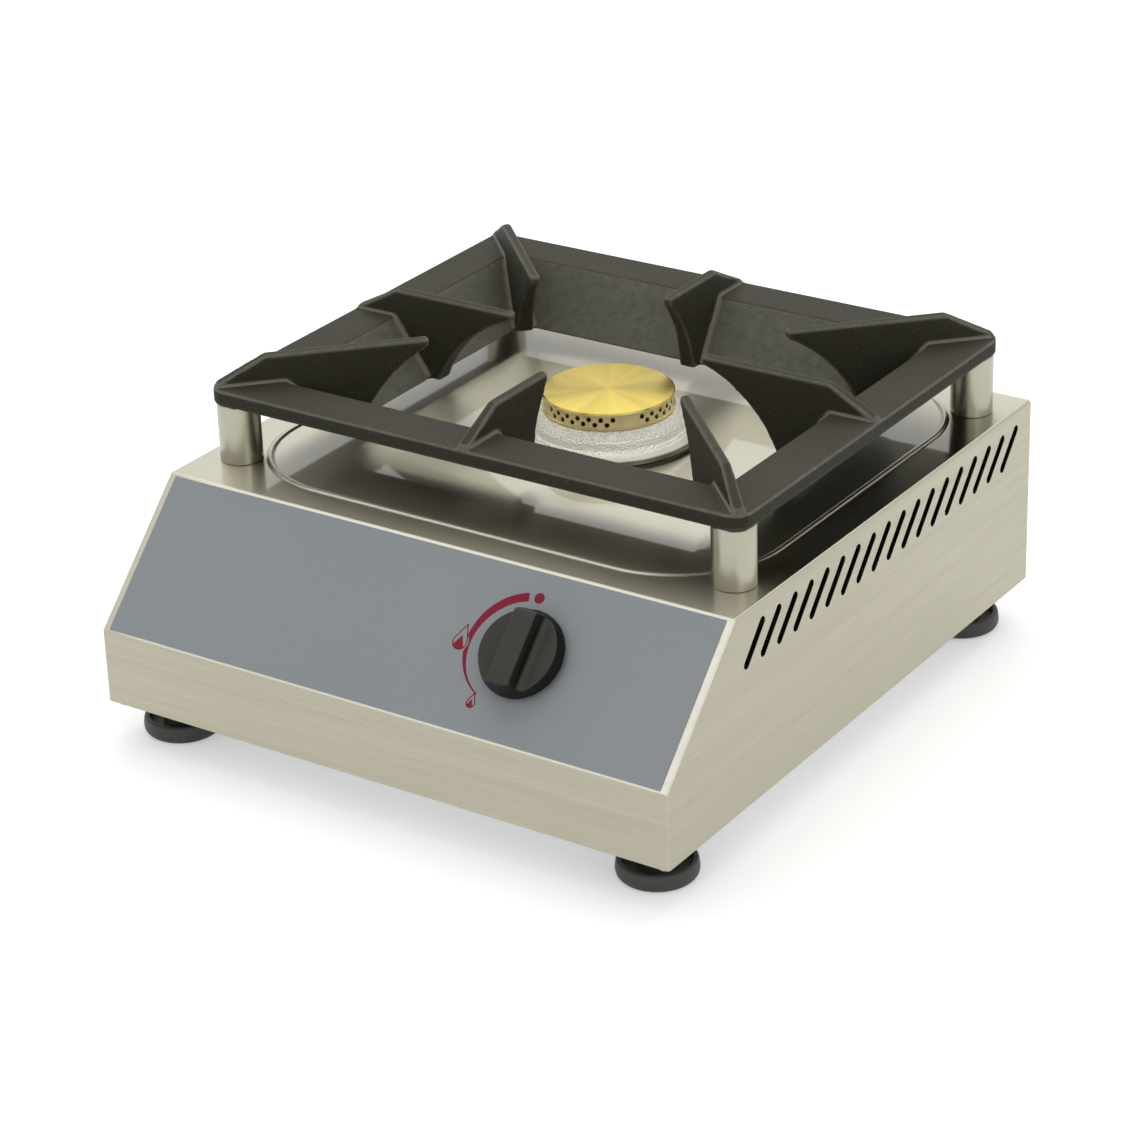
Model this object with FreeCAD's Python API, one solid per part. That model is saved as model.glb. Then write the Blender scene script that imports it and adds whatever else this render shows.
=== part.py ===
import FreeCAD, Part
import math
import os

# Countertop gas burner, in millimetres: +X to the right, +Y to the back, +Z up.
# The origin is on the table, under the middle of the whole length with the gas inlet.

# Driving dimensions

# Body of folded stainless sheet
body_width = 380.0
body_depth = 408.0
body_height = 116.5
lip_height = 45.0
slope_depth = 70.0
sheet = 1.2
fold_radius = 2.4
return_width = 14.0
bottom_plate_inset = 3.0
rear_panel_inset = 1.5

# Leaning vent slots in both sides
slot_count = 18
slot_length = 30.3
slot_width = 5.6
slot_lean = 41.0
slot_below_top = 9.1
slot_behind_fold = 7.0
slot_before_rear = 17.4
slot_nose_share = 0.5
slot_nose_reach = 0.9

# Pressed bead round the cooking area
bead_width = 6.0
bead_rise = 1.5
bead_crown_width = 2.6
bead_inside_post = 0.2
bead_outside_post = 16.3
bead_post_gap = 0.8

# Printed film on the sloped front
overlay_thickness = 0.4
overlay_side_margin = 5.2
overlay_end_margin = 1.7
overlay_hole_radius = 13.0

# Rubber feet
foot_height = 23.8
foot_radius = 23.0
foot_rim_height = 10.0
foot_rim_width = 4.5
foot_floor = 4.5
foot_collar_radius = 11.0
foot_side_inset = 27.6
foot_end_inset = 32.0
foot_head_depth = 1.0
foot_head_gap = 0.5

# Posts
post_height = 36.0
post_radius = 12.5
post_plug = 12.0
post_inset = 12.6

# Cast-iron pan support
support_side_margin = 11.0
support_front_margin = 24.35
support_rear_margin = 19.15
support_corner = 10.0
lip_thickness = 9.7
band_width = 29.0
band_thickness = 6.0
rim_width = 6.0
skirt_reach = 55.0
skirt_wall = 6.0
skirt_plate_gap = 11.0
seat_boss_radius = 15.5
spigot_length = 9.0
spigot_half_width = 5.0
spigot_gap = 0.3
spigot_end_gap = 1.0
finger_rise = 17.5
finger_top_width = 5.6
finger_root_width = 11.0
finger_nose_inset = 1.6
finger_nose_rise = 2.3
finger_peak_inset = 31.0
finger_tip_height = 5.0
finger_edge_bevel = 0.9
middle_tip_radius = 65.0
corner_tip_reach = 92.0
arch_radius = 82.0
arch_skirt_gap = 6.5

# Burner
burner_hole_radius = 45.0
burner_spigot_gap = 0.6
burner_flange_radius = 54.0
burner_flange_rise = 6.6
burner_flange_lift = 2.0
burner_seat_width = 5.5
burner_head_height = 18.2
burner_shoulder_radius = 46.4
burner_shoulder_height = 13.0
burner_bore_radius = 30.0
burner_screw_count = 3
burner_screw_depth = 6.0
cap_radius = 38.9
cap_top_radius = 38.2
cap_height = 10.6
cap_wall = 5.9
cap_top_thickness = 2.6
cap_locating_gap = 0.3
cap_seat_margin = 1.2
cap_edge = 0.5
cap_lug_count = 3
cap_lug_rise = 2.0
cap_lug_root = 1.0
port_radius = 1.3
port_group_count = 4
group_port_count = 7
port_blank_angle = -40.0
port_lower_height = 3.4
port_upper_height = 6.4

# Mixing tube under the burner
venturi_flange_radius = 48.0
venturi_flange_thickness = 4.0
venturi_neck_radius = 24.0
venturi_wall = 4.0
venturi_drop = 38.0
venturi_tube_radius = 17.0
venturi_tube_length = 105.0
venturi_mouth_radius = 21.0
venturi_mouth_length = 12.0
venturi_throat_radius = 9.5
hidden_flat_count = 12
injector_hex = 12.0
injector_hex_length = 5.0
injector_nose_radius = 4.5
injector_nose_length = 10.0
injector_thread_radius = 5.0
injector_thread_length = 8.0
holder_size = 20.0
holder_boss_radius = 8.0
holder_boss_length = 6.0
bracket_width = 30.0
bracket_thickness = 2.0
bracket_foot_length = 20.0

# Gas tap, measured along its axis from the face of the sloped front
knob_side_margin = 111.2
knob_up_slope = 51.0
knob_radius = 25.4
knob_rim_radius = 22.9
knob_top_radius = 22.2
knob_height = 14.2
knob_panel_gap = 3.4
knob_push = 2.5
knob_wall = 2.6
knob_roof = 4.8
knob_bar_width = 12.6
knob_skirt_height = 1.4
knob_rim_height = 7.6
knob_edge_drop = 1.4
knob_edge_width = 1.6
knob_scoop_lean = 2.0
knob_scoop_round = 4.2
knob_scoop_rise = 1.4
knob_nut_gap = 1.0
knob_hub_radius = 7.5
spindle_radius = 4.0
spindle_top = 13.0
spindle_flat = 1.4
spindle_hub_gap = 1.0
spindle_tang_gap = 0.5
running_gap = 0.05
tap_neck_radius = 7.5
tap_neck_top = 4.0
tap_bonnet_thickness = 5.0
tap_body_radius = 13.0
tap_body_length = 56.0
tap_port_depth = 28.0
tap_boss_reach = 18.0
tap_inlet_boss_radius = 9.0
tap_outlet_boss_radius = 7.5
tap_port_wall = 1.0
plug_radius = 8.0
plug_top_depth = 17.0
plug_length = 24.0
plug_slot_width = 3.4
plug_slot_gap = 0.2
spindle_collar_radius = 6.5
spindle_collar_depth = 8.0
spindle_collar_thickness = 2.0
magnet_stud_radius = 8.0
magnet_stud_length = 8.0
magnet_hex = 17.0
magnet_length = 8.0
magnet_tail_radius = 4.0
magnet_tail_length = 6.0
tap_nut_hex = 19.0
tap_nut_height = 3.0

# Pipes and inlet
burner_pipe_radius = 4.0
burner_pipe_bend = 10.0
supply_pipe_radius = 6.0
supply_pipe_bend = 18.0
pipe_nut_length = 8.0
burner_nut_hex = 14.0
supply_nut_hex = 19.0
pipe_bore_wall = 1.0
inlet_side_margin = 65.0
inlet_thread_radius = 10.48
inlet_thread_length = 18.0
inlet_stub_radius = 9.5
inlet_hex = 27.0
inlet_hex_length = 6.0
inlet_inside_length = 24.0
inlet_bore_radius = 6.5
locknut_thickness = 5.0
thermocouple_radius = 1.6
thermocouple_circle = 57.5
thermocouple_angle = 130.0
thermocouple_rise = 18.0
thermocouple_gap = 0.4
thermocouple_nut_hex = 8.0
thermocouple_tail = 1.0
lead_radius = 1.1
lead_bend = 12.0
lead_height = 12.0

# Fasteners and their clearances
screw_gap = 0.05
hole_gap = 0.2
cut_past = 1.0
same_place = 0.01
post_screw_radius = 3.0
post_screw_length = 9.0
foot_screw_radius = 3.0
foot_screw_length = 28.0
sheet_screw_radius = 2.0
sheet_screw_length = 8.0
screw_head_ratio = 1.9
screw_head_height_ratio = 1.1
nut_height = 5.0
nut_hex = 10.0

# Places worked out from the sizes

shell_bottom = foot_height + sheet
top_face = shell_bottom + body_height
lip_top = shell_bottom + lip_height
half_width = body_width / 2
front_face = -(body_depth + inlet_hex_length + inlet_thread_length) / 2
rear_face = front_face + body_depth
body_middle = front_face + body_depth / 2
support_width = body_width - 2 * support_side_margin
support_depth = body_depth - slope_depth - support_front_margin - support_rear_margin
burner_y = front_face + slope_depth + support_front_margin + support_depth / 2
shell_back = rear_face - sheet
slope_rise = body_height - lip_height
slope_length = math.hypot(slope_depth, slope_rise)
slope_up = FreeCAD.Vector(0, slope_depth / slope_length, slope_rise / slope_length)
slope_out = FreeCAD.Vector(0, -slope_rise / slope_length, slope_depth / slope_length)
slope_foot = FreeCAD.Vector(0, front_face, lip_top)
knob_x = half_width - knob_side_margin
inlet_x = half_width - inlet_side_margin
tap_origin = slope_foot + slope_up * knob_up_slope + FreeCAD.Vector(knob_x, 0, 0)
burner_axis = FreeCAD.Vector(0, burner_y, top_face)
support_half_x = support_width / 2
support_half_y = support_depth / 2
lip_bottom = top_face + post_height
band_top = lip_bottom + lip_thickness
finger_top = band_top + finger_rise
skirt_bottom = top_face + skirt_plate_gap
post_x = support_half_x - post_inset
post_y = support_half_y - post_inset
post_places = []
for side in (-1, 1):
    for end in (-1, 1):
        post_places.append(FreeCAD.Vector(side * post_x, burner_y + end * post_y, top_face))
foot_x = half_width - foot_side_inset
foot_y = body_depth / 2 - foot_end_inset
foot_places = []
for side in (-1, 1):
    for end in (-1, 1):
        foot_places.append(FreeCAD.Vector(side * foot_x, body_middle + end * foot_y, 0))
venturi_axis_height = top_face - venturi_drop
mouth_y = burner_y - venturi_tube_length
holder_back = mouth_y - injector_hex_length - injector_nose_length
holder_front = holder_back - holder_size
holder_y = holder_back - holder_size / 2
thermocouple_turn = math.radians(thermocouple_angle)
thermocouple_place = burner_axis + FreeCAD.Vector(
    thermocouple_circle * math.cos(thermocouple_turn), thermocouple_circle * math.sin(thermocouple_turn), 0)
up = FreeCAD.Vector(0, 0, 1)
down = FreeCAD.Vector(0, 0, -1)
right = FreeCAD.Vector(1, 0, 0)
left = FreeCAD.Vector(-1, 0, 0)
back = FreeCAD.Vector(0, 1, 0)
forward = FreeCAD.Vector(0, -1, 0)
origin = FreeCAD.Vector(0, 0, 0)


# Shared ways of making a solid

def export(node, shape):
    shape.exportStep(os.path.join("parts", node + ".step"))


def rod(radius, length, start=origin, axis=up):
    return Part.makeCylinder(radius, length, start, axis)


def block(low, high):
    return Part.makeBox(high.x - low.x, high.y - low.y, high.z - low.z, low)


def polygon_face(points):
    return Part.Face(Part.makePolygon(points + [points[0]]))


def turned(points):
    """Solid of revolution about Z from a closed outline of (radius, height) points."""
    face = polygon_face([FreeCAD.Vector(radius, 0, height) for radius, height in points])
    return face.revolve(origin, up, 360)


def rounded_rectangle(half_x, half_y, radius, z):
    """Closed wire of four sides and four corner arcs, centred on the burner."""
    pieces = []
    corner = radius * (1 - math.sqrt(0.5))
    for sign_x, sign_y in ((1, -1), (1, 1), (-1, 1), (-1, -1)):
        turn = sign_x == sign_y
        side_point = FreeCAD.Vector(sign_x * half_x, sign_y * (half_y - radius), z)
        end_point = FreeCAD.Vector(sign_x * (half_x - radius), sign_y * half_y, z)
        middle = FreeCAD.Vector(sign_x * (half_x - corner), sign_y * (half_y - corner), z)
        start, finish = (side_point, end_point) if turn else (end_point, side_point)
        pieces.append((start, middle, finish))
    edges = []
    for index, (start, middle, finish) in enumerate(pieces):
        edges.append(Part.Arc(start, middle, finish).toShape())
        following = pieces[(index + 1) % len(pieces)][0]
        edges.append(Part.LineSegment(finish, following).toShape())
    wire = Part.Wire(edges)
    wire.translate(FreeCAD.Vector(0, burner_y, 0))
    return wire


def plate(wire, thickness):
    return Part.Face(wire).extrude(FreeCAD.Vector(0, 0, thickness))


def flat_ring(radius, z, flats):
    """Outline of equal flats that lie at the radius."""
    corner = radius / math.cos(math.pi / flats)
    points = []
    for side in range(flats):
        turn = 2 * math.pi * side / flats
        points.append(FreeCAD.Vector(corner * math.cos(turn), corner * math.sin(turn), z))
    return points


def placed(solid, start, axis):
    solid.Placement = FreeCAD.Placement(start, FreeCAD.Rotation(up, axis))
    return solid


def small_round(radius, length, start=origin, axis=up, flats=6):
    """Hidden or repeated round hole or shank, kept to a few flats at the radius."""
    return placed(polygon_face(flat_ring(radius, 0, flats)).extrude(up * length), start, axis)


def hexagon(across_flats, length, start=origin, axis=up):
    return small_round(across_flats / 2, length, start, axis)


def tapered(outlines):
    """Solid with flat sides through a row of like outlines, from the first to the last."""
    faces = [polygon_face(outlines[0]), polygon_face(outlines[-1])]
    for near, far in zip(outlines, outlines[1:]):
        for index in range(len(near)):
            after = (index + 1) % len(near)
            faces.append(polygon_face([near[index], near[after], far[after], far[index]]))
    solid = Part.Solid(Part.Shell(faces))
    if solid.Volume < 0:
        solid.reverse()
    return solid


def turned_about(points, pivot, axis, angle):
    turn = FreeCAD.Rotation(axis, angle)
    return [pivot + turn.multVec(point - pivot) for point in points]


def bent_bar(points, bend, radius, sides=8, bend_steps=4):
    """Bar with a few flats: straight runs, each carried round its bend into the next."""
    heading = (points[1] - points[0]).normalize()
    facing = FreeCAD.Rotation(up, heading)
    section = []
    for side in range(sides):
        turn = 2 * math.pi * (side + 0.5) / sides
        section.append(points[0] + facing.multVec(FreeCAD.Vector(math.cos(turn), math.sin(turn), 0) * radius))
    sections = [section]
    start = points[0]
    for corner, after in zip(points[1:], points[2:]):
        leaving = (after - corner).normalize()
        turn = heading.getAngle(leaving)
        reach = bend * math.tan(turn / 2)
        run = corner - heading * reach - start
        sections.append([point + run for point in sections[-1]])
        axis = heading.cross(leaving).normalize()
        pivot = corner - heading * reach + axis.cross(heading) * bend
        for step in range(bend_steps):
            sections.append(turned_about(sections[-1], pivot, axis, math.degrees(turn) / bend_steps))
        start = corner + leaving * reach
        heading = leaving
    sections.append([point + points[-1] - start for point in sections[-1]])
    return tapered(sections)


def screw(radius, length, place, axis):
    """Hexagon-head screw: place is under the head, axis points along the shank."""
    head_height = radius * screw_head_height_ratio
    head = small_round(radius * screw_head_ratio, head_height, place - axis * head_height, axis)
    return head.fuse(small_round(radius, length, place, axis))


def at_tap(shape):
    """Moves a piece drawn along the tap axis (x right, y up the slope, z outwards) into place."""
    matrix = FreeCAD.Matrix(
        1, 0, 0, tap_origin.x,
        0, slope_up.y, slope_out.y, tap_origin.y,
        0, slope_up.z, slope_out.z, tap_origin.z,
        0, 0, 0, 1)
    return shape.transformed(matrix)


def from_tap(depth, side=0.0):
    """Point on the tap axis, depth behind the face of the slope, side mm to the right."""
    return tap_origin - slope_out * depth + right * side


os.makedirs("parts", exist_ok=True)


# Body shell

def folded_box(inset, bottom, rear):
    """Closed body outline, inset all round by one sheet or none, with sharp folds."""
    front = front_face + inset
    top = top_face - inset
    shift = inset * slope_length
    fold_low = lip_top + (inset * slope_rise - shift) / slope_depth
    fold_back = front_face + (shift + (slope_rise - inset) * slope_depth) / slope_rise
    outline = [
        FreeCAD.Vector(0, front, bottom),
        FreeCAD.Vector(0, front, fold_low),
        FreeCAD.Vector(0, fold_back, top),
        FreeCAD.Vector(0, rear, top),
        FreeCAD.Vector(0, rear, bottom),
    ]
    face = polygon_face(outline)
    half = half_width - inset
    face.translate(left * half)
    return face.extrude(right * (2 * half))


def round_folds(solid):
    folds = []
    for edge in solid.Edges:
        at_bottom = all(abs(vertex.Z - shell_bottom) < same_place for vertex in edge.Vertexes)
        at_rear = all(abs(vertex.Y - shell_back) < same_place for vertex in edge.Vertexes)
        if not at_bottom and not at_rear:
            folds.append(edge)
    return solid.makeFillet(fold_radius, folds)


def slot_cutter(index):
    along = FreeCAD.Vector(0, math.sin(lean), math.cos(lean))
    across = FreeCAD.Vector(0, math.cos(lean), -math.sin(lean))
    radius = slot_width / 2
    top_z = top_face - slot_below_top - radius
    bottom_y = front_face + slope_depth + slot_behind_fold + radius + index * slot_pitch
    low = FreeCAD.Vector(-half_width - sheet, bottom_y, top_z - slot_span * math.cos(lean))
    high = low + along * slot_span
    wide = across * radius
    narrow = across * (radius * slot_nose_share)
    nose = along * (radius * slot_nose_reach)
    outline = [
        low + wide, high + wide, high + narrow + nose, high - narrow + nose,
        high - wide, low - wide, low - narrow - nose, low + narrow - nose,
    ]
    return polygon_face(outline).extrude(right * (body_width + 2 * sheet))


def bead_bar():
    """Raised bead swept along a rounded rectangle that swings inside the posts at its corners."""
    half_x = post_x - bead_inside_post
    half_y = post_y + bead_outside_post
    reach = post_radius + bead_width / 2 + bead_post_gap
    half_sum = bead_outside_post + reach - bead_inside_post
    spare = bead_inside_post ** 2 + bead_outside_post ** 2 - reach ** 2
    corner = half_sum + math.sqrt(half_sum ** 2 - spare)
    path = rounded_rectangle(half_x, half_y, corner, top_face)
    start = path.Edges[1].Vertexes[0].Point
    ordered = Part.Wire(path.Edges[1:] + path.Edges[:1])
    outward = path.Edges[1].tangentAt(path.Edges[1].FirstParameter).cross(up)
    half_foot = bead_width / 2
    half_crown = bead_crown_width / 2
    section = []
    for across, rise in ((-half_foot, 0), (-half_crown, bead_rise), (half_crown, bead_rise), (half_foot, 0)):
        section.append(start + outward * across + up * rise)
    section.append(start + outward * half_foot - up * (sheet / 2))
    section.append(start - outward * half_foot - up * (sheet / 2))
    return ordered.makePipeShell([Part.makePolygon(section + [section[0]])], True, False)


lean = math.radians(slot_lean)
slot_span = slot_length - slot_width
slot_room = body_depth - slope_depth - slot_behind_fold - slot_before_rear
slot_pitch = (slot_room - slot_width - slot_span * math.sin(lean)) / (slot_count - 1)
bottom_screw_x = half_width - return_width / 2
bottom_screw_places = []
for place_y in (front_face + return_width / 2, body_middle, shell_back - return_width / 2):
    for place_x in (-bottom_screw_x, bottom_screw_x):
        bottom_screw_places.append(FreeCAD.Vector(place_x, place_y, foot_height))
rear_screw_places = []
for place_z in (shell_bottom + 2 * return_width, top_face - 2 * return_width):
    for place_x in (-bottom_screw_x, bottom_screw_x):
        rear_screw_places.append(FreeCAD.Vector(place_x, rear_face, place_z))

shell = round_folds(folded_box(0, shell_bottom, shell_back))
shell = shell.cut(folded_box(sheet, shell_bottom + sheet, shell_back - sheet))
shell = shell.fuse(bead_bar())
opening_x = half_width - return_width
bottom_opening = block(
    FreeCAD.Vector(-opening_x, front_face + return_width, shell_bottom - sheet),
    FreeCAD.Vector(opening_x, shell_back - return_width, shell_bottom + 2 * sheet))
rear_opening = block(
    FreeCAD.Vector(-opening_x, shell_back - 2 * sheet, shell_bottom + return_width),
    FreeCAD.Vector(opening_x, shell_back + sheet, top_face - return_width))
cutters = [bottom_opening, rear_opening]
cutters += [slot_cutter(index) for index in range(slot_count)]
burner_hole_foot = burner_axis - up * 2 * sheet
cutters.append(small_round(burner_hole_radius, 4 * sheet, burner_hole_foot, up, 2 * hidden_flat_count))
probe_hole_foot = thermocouple_place - up * 2 * sheet
cutters.append(small_round(thermocouple_radius + thermocouple_gap, 4 * sheet, probe_hole_foot))
tap_hole = small_round(tap_neck_radius + hole_gap, 4 * sheet, down * 2 * sheet, up, hidden_flat_count)
cutters.append(at_tap(tap_hole))
for place in post_places:
    cutters.append(small_round(post_screw_radius + hole_gap, 4 * sheet, place - up * 2 * sheet))
for place in bottom_screw_places:
    cutters.append(small_round(sheet_screw_radius + screw_gap, 4 * sheet, place))
for place in rear_screw_places:
    cutters.append(small_round(sheet_screw_radius + screw_gap, 4 * sheet, place, forward))
body_shell = shell.cut(Part.makeCompound(cutters))
export("body_shell", body_shell)


# Rear panel, bottom plate and their screws

rear_panel = block(
    FreeCAD.Vector(-half_width + rear_panel_inset, shell_back, shell_bottom + rear_panel_inset),
    FreeCAD.Vector(half_width - rear_panel_inset, rear_face, top_face - fold_radius))
tap_inlet = from_tap(tap_port_depth, tap_boss_reach)
inlet_place = FreeCAD.Vector(inlet_x, rear_face, tap_inlet.z)
panel_cutters = [small_round(inlet_stub_radius + hole_gap, 4 * sheet, inlet_place + back * sheet, forward)]
for place in rear_screw_places:
    panel_cutters.append(small_round(sheet_screw_radius + hole_gap, 4 * sheet, place + back * sheet, forward))
rear_panel = rear_panel.cut(Part.makeCompound(panel_cutters))
export("rear_panel", rear_panel)
rear_screws = [screw(sheet_screw_radius, sheet_screw_length, place, forward) for place in rear_screw_places]
export("rear_screws", Part.makeCompound(rear_screws))

bracket_screw_places = []
for side in (-1, 1):
    bracket_screw_places.append(FreeCAD.Vector(side * bracket_width / 3, holder_y, foot_height))
bottom_plate = block(
    FreeCAD.Vector(-half_width + bottom_plate_inset, front_face + bottom_plate_inset, foot_height),
    FreeCAD.Vector(half_width - bottom_plate_inset, shell_back - bottom_plate_inset, shell_bottom))
plate_cutters = []
for place in bottom_screw_places + bracket_screw_places:
    plate_cutters.append(small_round(sheet_screw_radius + hole_gap, 4 * sheet, place - up * sheet))
for place in foot_places:
    hole_foot = place + up * (foot_height - sheet)
    plate_cutters.append(small_round(foot_screw_radius + hole_gap, 4 * sheet, hole_foot))
bottom_plate = bottom_plate.cut(Part.makeCompound(plate_cutters))
export("bottom_plate", bottom_plate)
bottom_screws = [screw(sheet_screw_radius, sheet_screw_length, place, up) for place in bottom_screw_places]
export("bottom_screws", Part.makeCompound(bottom_screws))


# Printed film on the slope

overlay_half = half_width - overlay_side_margin
overlay_low = slope_foot + slope_up * overlay_end_margin
overlay_high = slope_foot + slope_up * (slope_length - overlay_end_margin)
overlay = polygon_face([
    overlay_low - right * overlay_half,
    overlay_low + right * overlay_half,
    overlay_high + right * overlay_half,
    overlay_high - right * overlay_half,
]).extrude(slope_out * overlay_thickness)
hole_foot = down * overlay_thickness
film_hole = small_round(overlay_hole_radius, 4 * overlay_thickness, hole_foot, up, hidden_flat_count)
overlay = overlay.cut(at_tap(film_hole))
export("front_overlay", overlay)


# Feet

def rubber_foot():
    inner_wall = foot_radius - foot_rim_width
    foot = turned([
        (0, foot_height),
        (foot_collar_radius, foot_height),
        (foot_collar_radius, foot_floor),
        (inner_wall, foot_floor),
        (inner_wall, foot_rim_height),
        (foot_radius, foot_rim_height),
        (foot_radius, 0),
        (0, 0),
    ])
    head_room = foot_screw_radius * screw_head_ratio + foot_head_gap
    foot = foot.cut(small_round(head_room, foot_head_seat))
    return foot.cut(small_round(foot_screw_radius + hole_gap, foot_height))


foot_head_seat = foot_screw_radius * screw_head_height_ratio + foot_head_depth
feet = []
foot_screws = []
foot_nuts = []
for place in foot_places:
    feet.append(rubber_foot().translated(place))
    foot_screws.append(screw(foot_screw_radius, foot_screw_length, place + up * foot_head_seat, up))
    nut = hexagon(nut_hex, nut_height, place + up * shell_bottom)
    foot_nuts.append(nut.cut(small_round(foot_screw_radius + screw_gap, nut_height, place + up * shell_bottom)))
export("feet", Part.makeCompound(feet))
export("foot_screws", Part.makeCompound(foot_screws))
export("foot_nuts", Part.makeCompound(foot_nuts))


# Posts

def post():
    rounded = rod(post_radius, post_height)
    socket_depth = spigot_length + spigot_end_gap
    socket = small_round(spigot_half_width + spigot_gap, socket_depth, up * (post_height - socket_depth))
    tapped = small_round(post_screw_radius + screw_gap, post_plug)
    return rounded.cut(socket).cut(tapped)


posts = []
post_screws = []
for place in post_places:
    posts.append(post().translated(place))
    post_screws.append(screw(post_screw_radius, post_screw_length, place - up * sheet, up))
export("posts", Part.makeCompound(posts))
export("post_screws", Part.makeCompound(post_screws))


# Pan support

def inset_wire(inset, corner, z):
    return rounded_rectangle(support_half_x - inset, support_half_y - inset, corner, z)


def mitred_corners(inset, z):
    half_x = support_half_x - inset
    half_y = support_half_y - inset
    corners = [(half_x, -half_y), (half_x, half_y), (-half_x, half_y), (-half_x, -half_y)]
    return [FreeCAD.Vector(x, burner_y + y, z) for x, y in corners]


def finger(tip, corner_factor, edge_setback):
    """One drafted finger, drawn inwards along +X from the outer edge of the frame at x = 0."""
    nose = finger_nose_inset + edge_setback
    peak = finger_peak_inset + edge_setback
    root_high = band_top - band_thickness / 2
    foot_end = (skirt_reach + arch_skirt_gap) * corner_factor
    foot_start = (skirt_reach - skirt_wall / 2) * corner_factor
    root_end = (band_width - skirt_wall / 2) * corner_factor
    tip_low = FreeCAD.Vector(tip, 0, finger_top - finger_tip_height)
    foot_point = FreeCAD.Vector(foot_end, 0, skirt_bottom)
    chord = tip_low - foot_point
    inboard = FreeCAD.Vector(chord.z, 0, -chord.x).normalize()
    sagitta = arch_radius - math.sqrt(arch_radius ** 2 - chord.Length ** 2 / 4)
    arch_middle = foot_point + chord * 0.5 - inboard * sagitta
    outline = [
        FreeCAD.Vector(foot_end, 0, skirt_bottom),
        FreeCAD.Vector(foot_start, 0, skirt_bottom),
        FreeCAD.Vector(root_end, 0, root_high),
        FreeCAD.Vector(nose, 0, root_high),
        FreeCAD.Vector(nose, 0, band_top + finger_nose_rise),
        FreeCAD.Vector(peak, 0, finger_top),
        FreeCAD.Vector(tip, 0, finger_top),
        tip_low,
    ]
    edges = [Part.LineSegment(a, b).toShape() for a, b in zip(outline, outline[1:])]
    edges.append(Part.Arc(tip_low, arch_middle, foot_point).toShape())
    side = Part.Face(Part.Wire(edges))
    side.translate(forward * (finger_root_width / 2))
    slab = side.extrude(back * finger_root_width)
    root_half = finger_root_width / 2
    top_half = finger_top_width / 2
    draft = polygon_face([
        FreeCAD.Vector(0, -root_half, skirt_bottom),
        FreeCAD.Vector(0, root_half, skirt_bottom),
        FreeCAD.Vector(0, top_half, finger_top),
        FreeCAD.Vector(0, -top_half, finger_top),
    ]).extrude(right * tip)
    drafted = slab.common(draft)
    ridge = []
    for edge in drafted.Edges:
        ends = edge.Vertexes
        if min(vertex.Z for vertex in ends) > finger_top - same_place:
            ridge.append(edge)
        elif min(vertex.X for vertex in ends) > tip - same_place:
            if abs(ends[0].Z - ends[1].Z) > finger_tip_height / 2:
                ridge.append(edge)
    across_peak = [edge for edge in ridge if max(vertex.X for vertex in edge.Vertexes) < peak + same_place]
    ridge = [edge for edge in ridge if not any(edge.isSame(other) for other in across_peak)]
    return drafted.makeChamfer(finger_edge_bevel, ridge)


def placed_finger(shape, edge_point, inward):
    turned_to = FreeCAD.Rotation(right, inward)
    piece = shape.copy()
    piece.Placement = FreeCAD.Placement(edge_point, turned_to)
    return piece


frame_outer = plate(inset_wire(0, support_corner, lip_bottom), lip_thickness)
underside = plate(inset_wire(rim_width, support_corner, lip_bottom), lip_thickness - band_thickness)
skirt_slope = (skirt_reach - band_width) / (band_top - skirt_bottom)
skirt_outer = tapered([
    mitred_corners(band_width - skirt_wall, band_top),
    mitred_corners(skirt_reach - skirt_wall, skirt_bottom),
])
skirt_inner = tapered([
    mitred_corners(band_width - cut_past * skirt_slope, band_top + cut_past),
    mitred_corners(skirt_reach + cut_past * skirt_slope, skirt_bottom - cut_past),
])
casting = frame_outer.cut(underside).fuse(skirt_outer)
seat_bosses = []
spigots = []
for place in post_places:
    boss_foot = FreeCAD.Vector(place.x, place.y, lip_bottom)
    seat_bosses.append(rod(seat_boss_radius, lip_thickness, boss_foot).common(frame_outer))
    spigot_foot = boss_foot - up * spigot_length
    spigots.append(small_round(spigot_half_width, spigot_length + lip_thickness / 2, spigot_foot))
casting = casting.fuse(seat_bosses + spigots).cut(skirt_inner)
corner_setback = support_corner * (math.sqrt(2) - 1)
corner_finger = finger(corner_tip_reach * math.sqrt(2), math.sqrt(2), corner_setback)
side_finger = finger(support_half_x - middle_tip_radius, 1, 0)
end_finger = finger(support_half_y - middle_tip_radius, 1, 0)
centre = FreeCAD.Vector(0, burner_y, 0)
fingers = []
for sign in (-1, 1):
    fingers.append(placed_finger(side_finger, centre + right * (sign * support_half_x), right * -sign))
    fingers.append(placed_finger(end_finger, centre + back * (sign * support_half_y), back * -sign))
    for other in (-1, 1):
        corner_point = centre + right * (sign * support_half_x) + back * (other * support_half_y)
        inward = (right * -sign + back * -other).normalize()
        fingers.append(placed_finger(corner_finger, corner_point, inward))
pan_support = casting.fuse(fingers).removeSplitter()
export("pan_support", pan_support)


# Burner head and cap

spigot_flats = 2 * hidden_flat_count
spigot_radius = (burner_hole_radius - burner_spigot_gap) * math.cos(math.pi / spigot_flats)
cap_bore = cap_radius - cap_wall
cap_flat_count = port_group_count * (2 * group_port_count + 3)
head_rim = cap_bore * math.cos(math.pi / cap_flat_count) - cap_locating_gap
seat_edge = burner_hole_radius + burner_seat_width
burner_body = turned([
    (0, 0),
    (seat_edge, 0),
    (seat_edge, burner_flange_lift),
    (burner_flange_radius, burner_flange_lift),
    (burner_flange_radius, burner_flange_rise),
    (burner_shoulder_radius, burner_flange_rise),
    (burner_shoulder_radius, burner_shoulder_height),
    (cap_radius + cap_seat_margin, burner_head_height),
    (0, burner_head_height),
])
burner_body = burner_body.fuse(small_round(spigot_radius, sheet, down * sheet, up, spigot_flats))
bore_length = burner_head_height + 2 * sheet
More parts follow.
